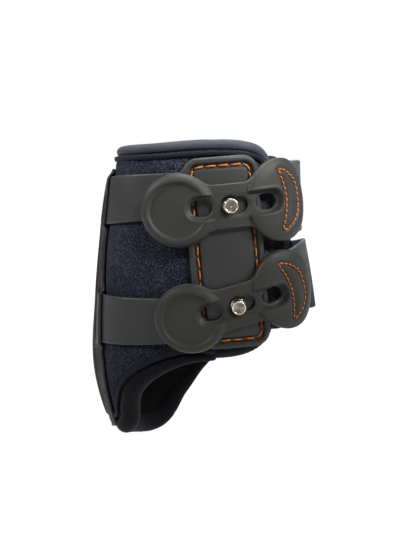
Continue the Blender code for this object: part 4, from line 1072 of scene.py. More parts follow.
class Thread:
    """A row of stitches along a closed seam."""

    SIDES = 8
    RINGS = 9

    def __init__(self, radius: float, pitch: float, length: float, seed: int) -> None:
        self.radius = radius
        self.pitch = pitch
        self.length = length
        self.random = np.random.default_rng(seed)

    def sew(self, name: str, path: Array, normals: Array, material: Material) -> Thing:
        """Sews along a seam.

        Each stitch is a bowed tube: its middle lies a radius above the seam, its ends dip
        below it and taper.

        Args:
            name: the name of the piece that holds all the stitches.
            path: the seam's points.
            normals: the surface's normals along it.
            material: the thread.

        Returns:
            The piece.
        """
        path = np.vstack([path, path[:1]])
        normals = np.vstack([normals, normals[:1]])
        along = along_of(path)
        count = max(1, round(along[-1] / self.pitch))
        pitch = along[-1] / count
        length = min(self.length, 0.93 * pitch)
        middle = (np.arange(count) + 0.5) * pitch
        middle += self.random.uniform(-0.02, 0.02, count) * pitch
        t = np.linspace(-1, 1, self.RINGS)
        at = middle[:, None] + t * length / 2
        centres, ups = (
            np.stack([np.interp(at, along, line[:, k]) for k in range(3)], axis=-1)
            for line in (path, normals)
        )
        ups /= np.linalg.norm(ups, axis=-1, keepdims=True)
        chord = centres[:, -1:] - centres[:, :1]
        straight = centres[:, :1] + chord * ((t + 1) / 2)[None, :, None]
        centres = 0.6 * centres + 0.4 * straight
        slant = self.random.uniform(-0.09, 0.09, (count, 1, 1)) * t[None, :, None]
        forward = chord / np.linalg.norm(chord, axis=-1, keepdims=True)
        side = np.cross(forward, ups)
        side /= np.linalg.norm(side, axis=-1, keepdims=True)
        bow = (1 - np.abs(t) ** 3.2) * 1.9 - 0.9
        centres = centres + ups * (bow * self.radius)[None, :, None]
        centres = centres + side * slant * length / 2
        taper = self.radius * np.sqrt(np.clip(1 - np.abs(t) ** 7, 0.02, 1))
        angle = np.linspace(0, 2 * math.pi, self.SIDES, endpoint=False)
        ring = side[:, :, None] * np.cos(angle)[:, None] + ups[:, :, None] * np.sin(angle)[:, None]
        points = centres[:, :, None] + ring * taper[None, :, None, None]
        index = np.arange(self.RINGS * self.SIDES).reshape(self.RINGS, self.SIDES)
        caps = [
            [ends[0], ends[k], ends[k + 1], ends[k + 2]]
            for ends in (index[0], index[-1][::-1]) for k in (1, 3, 5)
        ]
        faces = np.vstack([grid_faces(index), np.array(caps)])
        whole = np.arange(count)[:, None, None] * index.size + faces
        flat_u = np.repeat(at.ravel(), self.SIDES)
        flat_v = np.tile(angle / (2 * math.pi), count * self.RINGS)
        return Piece.make(
            name, points.reshape(-1, 3), whole.reshape(-1, 4), material,
            flat=np.column_stack([flat_u, flat_v]), crease_deg=80,
        )


@dataclass
class Pattern:
    """The runs of the wrap's edge, and the outlines that are drawn from them."""

    step: float = 0.0020
    runs: dict[str, Array] = field(default_factory=dict)

    def draw(self) -> None:
        """Draws the edge as one smooth closed curve and parts it into its four runs."""
        shares = {
            "top": TOP_RUN_SHARES,
            "front": FRONT_RUN_SHARES,
            "cup": CUP_RUN_SHARES,
            "far": FAR_RUN_SHARES,
        }
        whole = np.vstack([WALL.flat(run) for run in shares.values()])
        pieces = 12
        curve = smooth_through(whole, closed=True, pieces=pieces)
        first = 0
        for name, run in shares.items():
            last = first + len(run)
            wanted = np.arange(first * pieces, last * pieces + 1) % len(curve)
            self.runs[name] = evenly(curve[wanted], self.step)
            first = last

    def loop(self) -> Array:
        """The whole edge, as one closed line."""
        return np.concatenate([run[:-1] for run in self.runs.values()])[::-1]

    @staticmethod
    def ease(height: Array) -> Array:
        """True length over pattern length at some heights."""
        return WALL.girth(height) / WALL.pattern_girth

    def beside(self, line: Array, distance: Array | float) -> Array:
        """A line on the right of a pattern line, at true distances from it."""
        ease = self.ease(line[:, 1])
        tangent = np.gradient(line, axis=0)
        tangent[:, 0] *= ease
        tangent /= np.linalg.norm(tangent, axis=1, keepdims=True)
        right = np.stack([tangent[:, 1] / ease, -tangent[:, 0]], axis=1)
        return line + right * np.broadcast_to(distance, (len(line),))[:, None]

    def shell_loop(self) -> Array:
        """The outline of the rear shell."""
        near = smooth_through(WALL.flat(SHELL_NEAR_SHARES), closed=False, pieces=6)
        top = SHELL_TOP_SHARE * WALL.HEIGHT
        cup = self.runs["cup"]
        overlap = spread(SHELL_LOWER_OVERLAP_SHARES, len(cup))
        insets = SHELL_LOWER_INSET - overlap * (SHELL_LOWER_INSET + SHELL_LOWER_OVERLAP)
        low = self.beside(cup, insets)
        limit = SHELL_FRONT_SHARE * WALL.pattern_girth
        corner = 2 * SHELL_FLANGE_WIDTH
        low = low[(low[:, 0] < near[-1, 0]) & (low[:, 0] > limit + corner)]
        front = np.array([
            (limit, low[-1, 1] + corner),
            (limit, top - corner),
            (limit + corner / 3, top - corner / 3),
            (limit + corner, top),
        ])
        shoulder = near[0, 0] - np.array([SHELL_FLANGE_WIDTH, 0.0030, 0.0009])
        shoulder = np.column_stack([shoulder, top - np.array([0, 0.0007, 0.0026])])
        return np.vstack([shoulder, near, low, front])


class Closure:
    """Places on the closure plate and its tabs."""

    @staticmethod
    def plate(points: Sequence) -> Array:
        """Flat places from offsets in the leaning plate's own directions."""
        return turned_by(points, PLATE_LEAN, (PLATE_ARC, PLATE_CENTRE_SHARE * WALL.HEIGHT))

    @staticmethod
    def plate_outline(inset: float = 0.0) -> Array:
        """The plate's rounded rectangle, moved inwards."""
        half_width = PLATE_WIDTH / 2 - inset
        height = PLATE_TOP_MARGIN + Closure.stud_spacing() + PLATE_BOTTOM_MARGIN
        half_height = height / 2 - inset
        corners = [
            (half_width, -half_height), (half_width, half_height + PLATE_TOP_RISE),
            (-half_width, half_height + PLATE_TOP_RISE), (-half_width, -half_height),
        ]
        radius = max(PLATE_CORNER - inset, 0.0025)
        return Closure.plate(rounded_polygon(corners, [radius] * 4, steps=14))

    @staticmethod
    def stud_spacing() -> float:
        """How far apart the studs are, so that the two tabs lie clear of each other."""
        room = 2 * DISC_RADIUS + TAB_SPACING
        rise = DISC_OFFSET * (math.sin(LOWER_SLOPE) - math.sin(UPPER_SLOPE))
        return (room + rise) / math.cos(PLATE_LEAN)

    @staticmethod
    def studs() -> dict[str, Array]:
        """The places of the two studs, each a margin away from the plate's end."""
        middle = (PLATE_BOTTOM_MARGIN - PLATE_TOP_MARGIN) / 2
        half = Closure.stud_spacing() / 2
        upper, lower = Closure.plate([
            (STUD_SIDE_OFFSET, middle + half), (STUD_SIDE_OFFSET, middle - half),
        ])
        return {"upper": upper, "lower": lower}

    @staticmethod
    def arm_end(height: float) -> float:
        """Where an arm ends, tucked under the shell's near edge."""
        shares = np.array(SHELL_NEAR_SHARES[::-1])
        edge = np.interp(height / WALL.HEIGHT, shares[:, 1], shares[:, 0])
        return float(edge * WALL.girth(height)) - ARM_TUCK

    @staticmethod
    def arms() -> list[Array]:
        """The two arms, from the plate's inside along the top, round the end and back."""
        arms = []
        for rise, width in (
            (UPPER_ARM_RISE, UPPER_ARM_WIDTH), (-LOWER_ARM_FALL, LOWER_ARM_WIDTH),
        ):
            middle = PLATE_CENTRE_SHARE * WALL.HEIGHT + rise
            top, low = middle + width / 2, middle - width / 2
            end = Closure.arm_end(middle)
            inner = PLATE_ARC - PLATE_WIDTH / 4
            corners = [
                (inner, top + ARM_TOP_RISE), (end, top),
                (end, low), (inner, low + ARM_BOTTOM_RISE),
            ]
            arms.append(rounded_polygon(corners, [0.0001, 0.002, 0.002, 0.0001], steps=5))
        return arms

    @staticmethod
    def outline() -> Array:
        """The plate and its arms as one outline, its inner corners filleted."""
        line = evenly(Closure.plate_outline(), 0.0005, closed=True)
        joints = []
        for arm in Closure.arms():
            arm_line = evenly(arm, 0.0005, closed=True)
            outside = Outline(Closure.plate_outline()).signed(arm_line) > 0
            start = int(np.flatnonzero(outside & ~np.roll(outside, 1))[0])
            arm_line = np.roll(arm_line, -start, axis=0)
            arm_line = arm_line[: int(outside.sum())]
            covered = Outline(arm).signed(line) < 0
            first = int(np.flatnonzero(covered & ~np.roll(covered, 1))[0])
            line = np.roll(line, -first, axis=0)[int(covered.sum()) :]
            if np.linalg.norm(line[-1] - arm_line[0]) > np.linalg.norm(line[-1] - arm_line[-1]):
                arm_line = arm_line[::-1]
            joints += [arm_line[0], arm_line[-1]]
            line = np.vstack([line, arm_line])
        line = evenly(line, 0.0005, closed=True)
        near = np.min([np.linalg.norm(line - joint, axis=1) for joint in joints], axis=0)
        share = 0.5 * (1 - ramp(near, 0.0028, 0.0045))[:, None]
        for _ in range(60):
            middle = (np.roll(line, 1, axis=0) + np.roll(line, -1, axis=0)) / 2
            line = line + share * (middle - line)
        return line


class Padding:
    """Blows soft pieces up as cloth, so that they swell between what holds them."""

    SCALE = 10
    FRAMES = 20

    @classmethod
    def settle(cls, points: Array, faces: Array, held: Array, limit: float,
               pressure: float = 4.0, tension: float = 15.0) -> Array:
        """Lets a mesh swell under pressure, without gravity.

        Args:
            points: world points.
            faces: rows of point numbers.
            held: how firmly each point is sewn down, 0 to 1.
            limit: how far a point may move.
            pressure: the pressure inside.
            tension: how stiff the cloth is against stretching.

        Returns:
            The points after the simulation.
        """
        mesh = bpy.data.meshes.new("padding")
        mesh.from_pydata((points * cls.SCALE).tolist(), [], faces.tolist())
        thing = bpy.data.objects.new("padding", mesh)
        scene = bpy.context.scene
        scene.collection.objects.link(thing)
        group = thing.vertex_groups.new(name="held")
        for level in (0.25, 0.5, 0.75, 1.0):
            near = np.flatnonzero(np.abs(held - level) < 0.125)
            group.add(near.tolist(), level, "REPLACE")
        cloth = thing.modifiers.new("cloth", "CLOTH")
        cloth.settings.quality = 6
        cloth.settings.mass = 0.15
        cloth.settings.tension_stiffness = tension
        cloth.settings.compression_stiffness = tension
        cloth.settings.shear_stiffness = tension / 3
        cloth.settings.bending_stiffness = 0.5
        cloth.settings.vertex_group_mass = "held"
        cloth.settings.use_pressure = True
        cloth.settings.uniform_pressure_force = pressure
        cloth.settings.effector_weights.gravity = 0
        cloth.collision_settings.use_collision = False
        cloth.point_cache.frame_start = 1
        cloth.point_cache.frame_end = cls.FRAMES
        for frame_number in range(1, cls.FRAMES + 1):
            scene.frame_set(frame_number)
        evaluated = thing.evaluated_get(bpy.context.evaluated_depsgraph_get())
        settled = np.empty(len(points) * 3)
        evaluated.data.vertices.foreach_get("co", settled)
        scene.frame_set(1)
        bpy.data.objects.remove(thing, do_unlink=True)
        moved = settled.reshape(-1, 3) / cls.SCALE - points
        length = np.linalg.norm(moved, axis=1, keepdims=True)
        LOG.info("padding swelled by up to %.2f mm", 1000 * float(length.max()))
        short = limit * np.tanh(length / limit) / np.maximum(length, 1e-9)
        return points + moved * short


@dataclass
class Wrap:
    """The padded wrap: the liner with its rolls, piping and bindings."""

    pattern: Pattern
    finishes: Finishes
    liner_step: float = 0.0024
    padding_step: float = 0.0042
    puff: float = 0.0007
    sides: int = 28
    swollen: tuple[Array, Array] | None = None

    def pressed(self, xy: Array) -> tuple[Array, Array]:
        """How far places lie from what presses on the padding, and from the wrap's edge."""
        true = xy * np.column_stack([self.pattern.ease(xy[:, 1]), np.ones(len(xy))])
        plate = Outline(Closure.outline()[::2]).signed(true)
        shell = Outline(self.pattern.shell_loop()).signed(xy)
        return np.minimum(plate, shell), -Outline(self.pattern.loop()).signed(xy)

    def start_relief(self, xy: Array) -> Array:
        """The padding before it swells: a low rise away from what presses on it.

        height = -0.3 mm + puff * rise of the distance from the plate and shell.
        """
        apart, edge = self.pressed(xy)
        return -0.0003 + self.puff * ramp(apart, -0.0005, 0.006) * ramp(edge, 0.0, 0.004)

    def swell(self) -> None:
        """Simulates the liner's outer face as cloth, held down under the plate and shell."""
        face = Moulding(
            outer=Outline(self.pattern.loop()), top=self.start_relief, step=self.padding_step,
            edge_step=self.padding_step, edge_radius=LINER_ROUNDING,
        ).build()
        half = (len(face.faces) - len(face.rim)) // 2
        count = len(face.points) // 2
        outer, faces = face.points[:count], face.faces[:half]
        points, normals = WALL.lay(outer, stretched=True)
        apart, edge = self.pressed(outer[:, :2])
        held = 1 - ramp(np.minimum(apart, edge), 0.0, 0.0030)
        settled = Padding.settle(points, faces, held, limit=0.0013)
        rise = np.sum((settled - points) * normals, axis=1)
        self.swollen = (outer[:, :2], np.maximum(rise, 0))

    def relief(self, xy: Array) -> Array:
        """The padding's outer face: its start plus the swelling at the nearest places."""
        places, rises = self.swollen
        swelling = np.empty(len(xy))
        for first in range(0, len(xy), 1500):
            part = xy[first : first + 1500]
            apart = np.sum((part[:, None] - places) ** 2, axis=2)
            near = np.argpartition(apart, 8, axis=1)[:, :8]
            reach = np.take_along_axis(apart, near, axis=1)
            weight = np.exp(-reach / (0.6 * self.padding_step) ** 2) + 1e-9
            total = np.sum(weight * rises[near], axis=1)
            swelling[first : first + 1500] = total / weight.sum(axis=1)
        return self.start_relief(xy) + swelling

    def liner(self) -> None:
        """The liner, from the outer face round its rim to the inner face."""
        self.swell()
        grown = Outline(self.pattern.loop()).inset(-LINER_TUCK, self.liner_step)
        flat = Moulding(
            outer=Outline(grown), top=self.relief, step=self.liner_step,
            edge_step=self.liner_step, edge_radius=LINER_ROUNDING,
            bottom=lambda xy: np.full(len(xy), -LINER_THICKNESS),
        ).build()
        points, _ = WALL.lay(flat.points, stretched=True)
        liner = Piece.make(
            "padded_liner", points, flat.faces, self.finishes.knit, flat=flat.points, crease_deg=60
        )
        liner.data.materials.append(self.finishes.inner)
        half = (len(flat.faces) - len(flat.rim)) // 2
        inner = np.zeros(len(flat.faces), np.int32)
        inner[half : 2 * half] = 1
        liner.data.polygons.foreach_set("material_index", inner)
        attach(liner, "wrap")
        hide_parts("neoprene_liner")

    def edge_tube(self, name: str, line: Array, lift: Array | float, section: Callable,
                  material: Material, swell: float = 0.0) -> Thing:
        """A soft tube laid on the wall along a pattern line, with domed ends.

        Args:
            name: the piece's name.
            line: the tube's middle on the pattern.
            lift: how far the middle lies from the wall.
            section: gives, from the place along the tube and the angle round it, the
                offsets across the line and away from the wall.
            material: the cover.
            swell: how far the cover may swell as cloth, sewn down on the liner's side.

        Returns:
            The object.
        """
        rows = len(line)
        along = along_of(line * np.column_stack([self.pattern.ease(line[:, 1]), np.ones(rows)]))
        lifts = np.broadcast_to(lift, (rows,))
        centres, normals = WALL.lay(np.column_stack([line, lifts]), stretched=True)
        forward = np.gradient(centres, axis=0)
        forward /= np.linalg.norm(forward, axis=1, keepdims=True)
        out = normals - forward * np.sum(normals * forward, axis=1, keepdims=True)
        out /= np.linalg.norm(out, axis=1, keepdims=True)
        across = np.cross(out, forward)
        angle = np.linspace(0, 2 * math.pi, self.sides, endpoint=False)
        a, o = section(along[:, None], angle[None, :])
        dome_length = 0.5 * (np.ptp(a[0]) + np.ptp(a[-1])) / 2
        from_end = np.minimum(along, along[-1] - along)
        dome = np.sqrt(np.clip(1 - (1 - np.clip(from_end / dome_length, 0, 1)) ** 2, 0.0004, 1))
        sides = across[:, None] * (a * dome[:, None])[..., None]
        outs = out[:, None] * (o * dome[:, None])[..., None]
        points, faces = Piece.tube(centres, sides, outs)
        index = np.arange(rows * self.sides).reshape(rows, self.sides)
        caps = []
        for row, flip in ((index[0], -1), (index[-1], 1)):
            ends = row[::flip]
            starts = range(1, self.sides - 1, 2)
            caps += [[ends[0], ends[k], ends[k + 1], ends[k + 2]] for k in starts]
        faces = np.vstack([faces, np.array(caps)])
        if swell:
            sewn = np.tile(ramp(-np.cos(angle), 0.55, 0.9), rows)
            ends = np.repeat(1 - ramp(from_end, 0.0, 0.006), self.sides)
            points = Padding.settle(points, faces, np.maximum(sewn, ends), limit=swell)
        flat_u = np.repeat(along, self.sides)
        flat_v = np.tile(angle * 0.004 / (2 * math.pi), rows)
        return Piece.make(
            name, points, faces, material, flat=np.column_stack([flat_u, flat_v]), crease_deg=80
        )

    def creases(self, along: Array, angle: Array, seed: int, every: float) -> Array:
        """Shallow cross creases: the sum of narrow dips at uneven places along a roll."""
        random = np.random.default_rng(seed)
        total = along.max()
        count = max(2, int(total / every))
        dip = 0 * (along + angle)
        places = (np.arange(count) + random.uniform(0.2, 0.8, count)) * total / count
        for place in places:
            middle = random.uniform(0, 2 * math.pi)
            width = random.uniform(0.0012, 0.003)
            slant = random.uniform(-0.004, 0.004)
            reach = (1 + np.cos(angle - middle)) / 2
            where = (along - place - slant * np.sin(angle - middle)) / width
            dip = dip + random.uniform(0.3, 1.0) * reach**1.5 * np.exp(-0.5 * where**2)
        return dip

    def rolls(self) -> None:
        """The top roll and the cup roll."""
        full = CUP_ROLL_RADIUS
        near, far = full * CUP_ROLL_NEAR_SHARE, full * CUP_ROLL_FAR_SHARE
        swelling = [near, (near + full) / 2, full, full, full, full, far, far, far]
        # The top roll's cover is painted lighter as painted top light, the cup roll's darker as
        # painted shade.
        jobs = (
            ("top_roll_cover", "top_roll", "top", [TOP_ROLL_RADIUS] * 2, (0, 0), 5, 0.022, 0.06,
             self.finishes.roll),
            ("cup_roll_cover", "cup_roll", "cup", swelling, CUP_ROLL_TUCK_SHARES, 9, 0.014, 0.045,
             self.finishes.cup),
        )
        for name, node, run_name, radii, tucks, seed, every, depth, cover in jobs:
            run = evenly(self.pattern.runs[run_name], TUBE_STEP)
            radius = spread(radii, len(run), 12) - 0.0002
            line = self.pattern.beside(run, -(radius + ROLL_GAP))
            lift = -LINER_THICKNESS / 2 * (1 + spread(tucks, len(run), 12))

            def section(along: Array, angle: Array) -> tuple[Array, Array]:
                """A circle pressed a little flat against the liner, less its creases."""
                dip = self.creases(along, angle, seed, every)
                r = radius[:, None] * (1 - depth * dip)
                flatten = 1 - 0.06 * np.exp(-((np.cos(angle) + 1) ** 2) / 0.1)
                return r * np.cos(angle) * flatten, r * np.sin(angle)

            roll = self.edge_tube(name, line, lift, section, cover, swell=0.0006)
            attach(roll, "wrap")
            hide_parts(node)

    def pipings(self) -> None:
        """The folded beads that lie on the liner beside the rolls."""
        for name, node, run_name, width in (
            ("top_fold", "top_piping", "top", 1.35), ("cup_fold", "cup_piping", "cup", 1.5),
        ):
            run = evenly(self.pattern.runs[run_name], TUBE_STEP)
            line = self.pattern.beside(run, 0.0010)

            def section(along: Array, angle: Array) -> tuple[Array, Array]:
                """A flattened bead whose ridge leans towards the roll."""
                wave = 1 + 0.05 * np.sin(along * 900) * np.sin(along * 240)
                a = width * PIPING_RADIUS * np.cos(angle) + 0.3 * PIPING_RADIUS * np.sin(angle)
                return a * wave, PIPING_RADIUS * np.sin(angle) * wave

            fold = self.edge_tube(name, line, 0.7 * PIPING_RADIUS, section, self.finishes.piping)
            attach(fold, "wrap")
            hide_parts(node)

    def bindings(self) -> None:
        """The ribbed tapes that bind the two front edges."""
        for name, node, run_name, radius in (
            ("closure_edge_tape", "closure_edge_binding", "front", CLOSURE_TAPE_RADIUS),
            ("shell_edge_tape", "shell_edge_binding", "far", SHELL_TAPE_RADIUS),
        ):
            run = self.pattern.runs[run_name]
            if run_name == "front":
                run = np.vstack([run, self.pattern.runs["cup"][1:6]])
            run = evenly(run, TUBE_STEP)
            line = self.pattern.beside(run, -(radius - 0.0008))

            def section(along: Array, angle: Array) -> tuple[Array, Array]:
                """A flattened ring as thick as the liner, ribbed across."""
                rib = 1 + 0.035 * np.sin(along * 2 * math.pi / TAPE_RIB_PITCH)
                power = 0.75
                c, s = np.cos(angle), np.sin(angle)
                a = radius * np.sign(c) * np.abs(c) ** power * rib
                return a, TAPE_HALF_THICKNESS * np.sign(s) * np.abs(s) ** power * rib

            tape = self.edge_tube(name, line, -LINER_THICKNESS / 2, section, self.finishes.tape)
            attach(tape, "wrap")
            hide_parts(node)

    def build(self) -> None:
        """Makes the wrap's pieces."""
        self.liner()
        self.rolls()
        self.pipings()
        self.bindings()


@dataclass
class Shell:
    """The moulded shell on the rear and the inner side, sewn round its edge."""

    pattern: Pattern
    finishes: Finishes
    step: float = 0.0016

    def relief(self, xy: Array) -> Array:
        """The shell's upper face.

        height = edge profile of the distance from the outline, plus the guard's dome where
        the place lies inside its oval, less three shallow rings on it.
        """
        depth = -Outline(self.pattern.shell_loop()).signed(xy)
        edge = Profile(
            (0, 0.0007, *SHELL_RELIEF_LINES, 0.012), (1.30, 1.75, *SHELL_RELIEF_MM, 2.10), 0.00022
        )
        height = edge(np.clip(depth, 0, 0.0119)) / 1000
        middle = WALL.flat([(GUARD_GIRTH_SHARE, GUARD_HEIGHT_SHARE)])[0]
        across = (xy - middle) / (GUARD_WIDTH / 2, GUARD_HEIGHT / 2)
        out = np.linalg.norm(across, axis=1)
        dome = GUARD_RISE * ramp(1 - out, 0.0, 0.07)
        rings = 0.0005 * sum(np.exp(-(((out - r) / 0.018) ** 2)) for r in (0.35, 0.58, 0.80))
        return height + dome - rings

    def lift(self, xy: Array) -> Array:
        """How far the shell's lower face lies from the wall.

        lift = the shell's lift, less a bend down to the liner near the closure, where no arm
        lies under its edge, and along its top at the rear.
        """
        near = WALL.flat(SHELL_NEAR_SHARES[::-1])
        inside = np.interp(xy[:, 1], near[:, 1], near[:, 0]) - xy[:, 0]
        bend = 1 - ramp(inside, 0.0010, SHELL_NEAR_BEND)
        bend = bend * (xy[:, 0] > -0.3 * WALL.pattern_girth)
        middle = PLATE_CENTRE_SHARE * WALL.HEIGHT
        for rise, width in ((UPPER_ARM_RISE, UPPER_ARM_WIDTH), (-LOWER_ARM_FALL, LOWER_ARM_WIDTH)):
            beyond = np.abs(xy[:, 1] - middle - rise) - width / 2
            bend = bend * ramp(beyond, 0.0002, 0.0034)
        below = SHELL_TOP_SHARE * WALL.HEIGHT - xy[:, 1]
        rear = ramp(xy[:, 0] / WALL.pattern_girth, -0.54, -0.50)
        bend = np.maximum(bend, (1 - ramp(below, 0.0010, 0.0075)) * rear)
        return SHELL_LIFT - (SHELL_LIFT - SHELL_NEAR_LIFT) * bend

    def build(self) -> None:
        """Makes the shell and its stitching."""
        outline = Outline(self.pattern.shell_loop())
        guides = [outline.inset(distance, self.step) for distance in SHELL_RELIEF_LINES]
        guard = WALL.flat([(GUARD_GIRTH_SHARE, GUARD_HEIGHT_SHARE)])[0]
        angle = np.linspace(0, 2 * math.pi, 160, endpoint=False)
        for share in (0.93, 0.965, 1.0):
            oval = np.stack([np.cos(angle) * GUARD_WIDTH, np.sin(angle) * GUARD_HEIGHT], axis=1)
            guides.append(guard + oval / 2 * share)
        flat = Moulding(
            outer=outline, top=self.relief, step=self.step, edge_step=0.0012, edge_radius=0.0007,
            guides=guides,
        ).build()
        flat.points[:, 2] += self.lift(flat.points[:, :2])
        points, _ = WALL.lay(flat.points, stretched=True)
        shell = Piece.moulded("moulded_shell", flat, points, self.finishes.shell)
        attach(shell, "wrap")
        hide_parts("rear_shell")
        seam = evenly(outline.inset(SHELL_SEAM_INSET, 0.0016), 0.0016, closed=True)
        lifted = np.column_stack([seam, self.lift(seam) + self.relief(seam)])
        path, normals = WALL.lay(lifted, stretched=True)
        thread = Thread(FINE_THREAD_RADIUS, 0.0042, 0.0036, 31)
        # The shell's stitches use the orange thread painted darker as painted shade.
        stitches = thread.sew(
            "shell_stitches", path, normals, self.finishes.shell_thread
        )
        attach(stitches, "wrap")


@dataclass
class Plate:
    """The moulded closure plate with its two arms, its sewn groove and the studs."""

    finishes: Finishes
    step: float = 0.0009

    def relief(self, xy: Array) -> Array:
        """The plate's upper face.

        Inside the plate the height follows a profile of the distance from its outline: the
        rim, the thread's groove and the slightly raised middle. Outside it, the arms' height.
        """
        depth = -Outline(Closure.plate_outline()).signed(xy)
        rim = (PLATE_THICKNESS + RIM_RISE) * 1000
        floor = (PLATE_THICKNESS - GROOVE_DEPTH) * 1000
        start = RIM_WIDTH
        end = RIM_WIDTH + GROOVE_WIDTH
        profile = Profile(
            (0, 0.0007, 0.0018, start - 0.0004, start + 0.0001, end - 0.0002, end + 0.0002,
             end + 0.0014, 0.05),
            (ARM_THICKNESS * 1000, rim - 0.45, rim, rim - 0.10, floor, floor,
             floor + 1.25, floor + 1.65, floor + 1.70),
            0.00022,
        )
        inside = profile(np.clip(depth, 0, 0.0499)) / 1000
        return np.where(depth > 0, inside, ARM_THICKNESS)

    def build(self) -> None:
        """Makes the plate, its stitches and the studs."""
        plate = Outline(Closure.plate_outline())
        distances = (0.0004, 0.0009, 0.0018, 0.0030, 0.0036, 0.0039, 0.0042, 0.0052, 0.0063,
                     0.0066, 0.0070, 0.0080)
        guides = [plate.inset(d, 0.0008) for d in distances]
        flat = Moulding(
            outer=Outline(Closure.outline()), top=self.relief, step=self.step, edge_step=0.0007,
            edge_radius=0.0009, guides=guides,
        ).build()
        flat.points[:, 2] += PLATE_LIFT
        points, _ = WALL.lay(flat.points, stretched=False)
        made = Piece.moulded("moulded_plate", flat, points, self.finishes.plate)
        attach(made, "wrap")
        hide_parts("closure_plate")
        seam = evenly(plate.inset(RIM_WIDTH + GROOVE_WIDTH / 2, 0.0008), 0.0008, closed=True)
        lift = PLATE_LIFT + PLATE_THICKNESS - GROOVE_DEPTH + 0.0003
        lifted = np.column_stack([seam, np.full(len(seam), lift)])
        path, normals = WALL.lay(lifted, stretched=False)
        thread = Thread(THREAD_RADIUS, PLATE_STITCH_PITCH, PLATE_STITCH_LENGTH, 7)
        stitches = thread.sew("plate_stitches", path, normals, self.finishes.thread)
        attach(stitches, "wrap")
        for name, place in Closure.studs().items():
            self.stud(name, place)

    def stud(self, name: str, place: Array) -> None:
        """One turned stud: a profile carried round the stud's axis.

        Args:
            name: which stud it is.
            place: its flat place.
        """
        top = STUD_HEIGHT
        r = STUD_HEAD_RADIUS
        head = top - 0.0026
        corners = np.array([
            (0.0, top - 0.00065), (0.00035, top - 0.00055), (0.0006, top - 0.00034),
            (0.0009, top - 0.00030), (r - 0.00125, top - 0.00030), (r - 0.00100, top - 0.00022),
            (r - 0.00078, top - 0.00002), (r - 0.00055, top), (r - 0.00028, top - 0.00012),
            (r - 0.00006, top - 0.00042),
            (r, top - 0.0008), (r, head + 0.0006), (r - 0.0003, head + 0.0001),
            (r - 0.0011, head - 0.0001), (0.0024, head - 0.0005), (0.0022, head - 0.0010),
            (0.0022, 0.0016), (0.0026, 0.0011), (0.0040, 0.0009), (0.0044, 0.0006),
            (0.0044, 0.0), (0.0017, 0.0),
            (0.0017, -PLATE_THICKNESS), (0.0, -PLATE_THICKNESS),
        ])
        profile = evenly(corners, 0.00012)
        profile[0, 0] = profile[-1, 0] = 0.0
        count = 72
        angle = np.linspace(0, 2 * math.pi, count, endpoint=False)
        inner = profile[1:-1]
        ring = np.stack([
            inner[:, :1] * np.cos(angle), inner[:, :1] * np.sin(angle),
            np.repeat(inner[:, 1:], count, axis=1),
        ], axis=-1).reshape(-1, 3)
        points = np.vstack([ring, [(0, 0, profile[0, 1]), (0, 0, profile[-1, 1])]])
        index = np.arange(len(inner) * count).reshape(-1, count)
        first, last = len(points) - 2, len(points) - 1
        following = np.roll(index, -1, axis=1)
        fans = [
            np.column_stack([np.full(count, first), index[0], following[0]]),
            np.column_stack([np.full(count, last), following[-1], index[-1]]),
        ]
        quads = grid_faces(index)
        faces = np.vstack([quads[:, [0, 1, 2]], quads[:, [0, 2, 3]], *fans])
        along = along_of(profile)
        flat = np.column_stack([
            np.concatenate([np.tile(angle * 0.001, len(inner)), [0, 0]]),
            np.concatenate([np.repeat(along[1:-1], count), [0, along[-1]]]),
        ])
        bright = ramp(points[:, 0] ** 2 + points[:, 1] ** 2, (r - 0.0012) ** 2, (r - 0.0009) ** 2)
        base = PLATE_LIFT + PLATE_THICKNESS + LAYER_GAP
        at, out = WALL.lay(np.array([[place[0], place[1], base]]), stretched=False)
        out = out[0]
        side = np.cross((0, 0, 1), out)
        side /= np.linalg.norm(side)
        turn = np.stack([side, np.cross(out, side), out], axis=0)
        made = Piece.make(
            f"{name}_turned_stud", points @ turn + at[0], faces, self.finishes.metal,
            flat=flat, wear=bright, crease_deg=60,
        )
        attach(made, "wrap")
        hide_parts(f"{name}_stud")


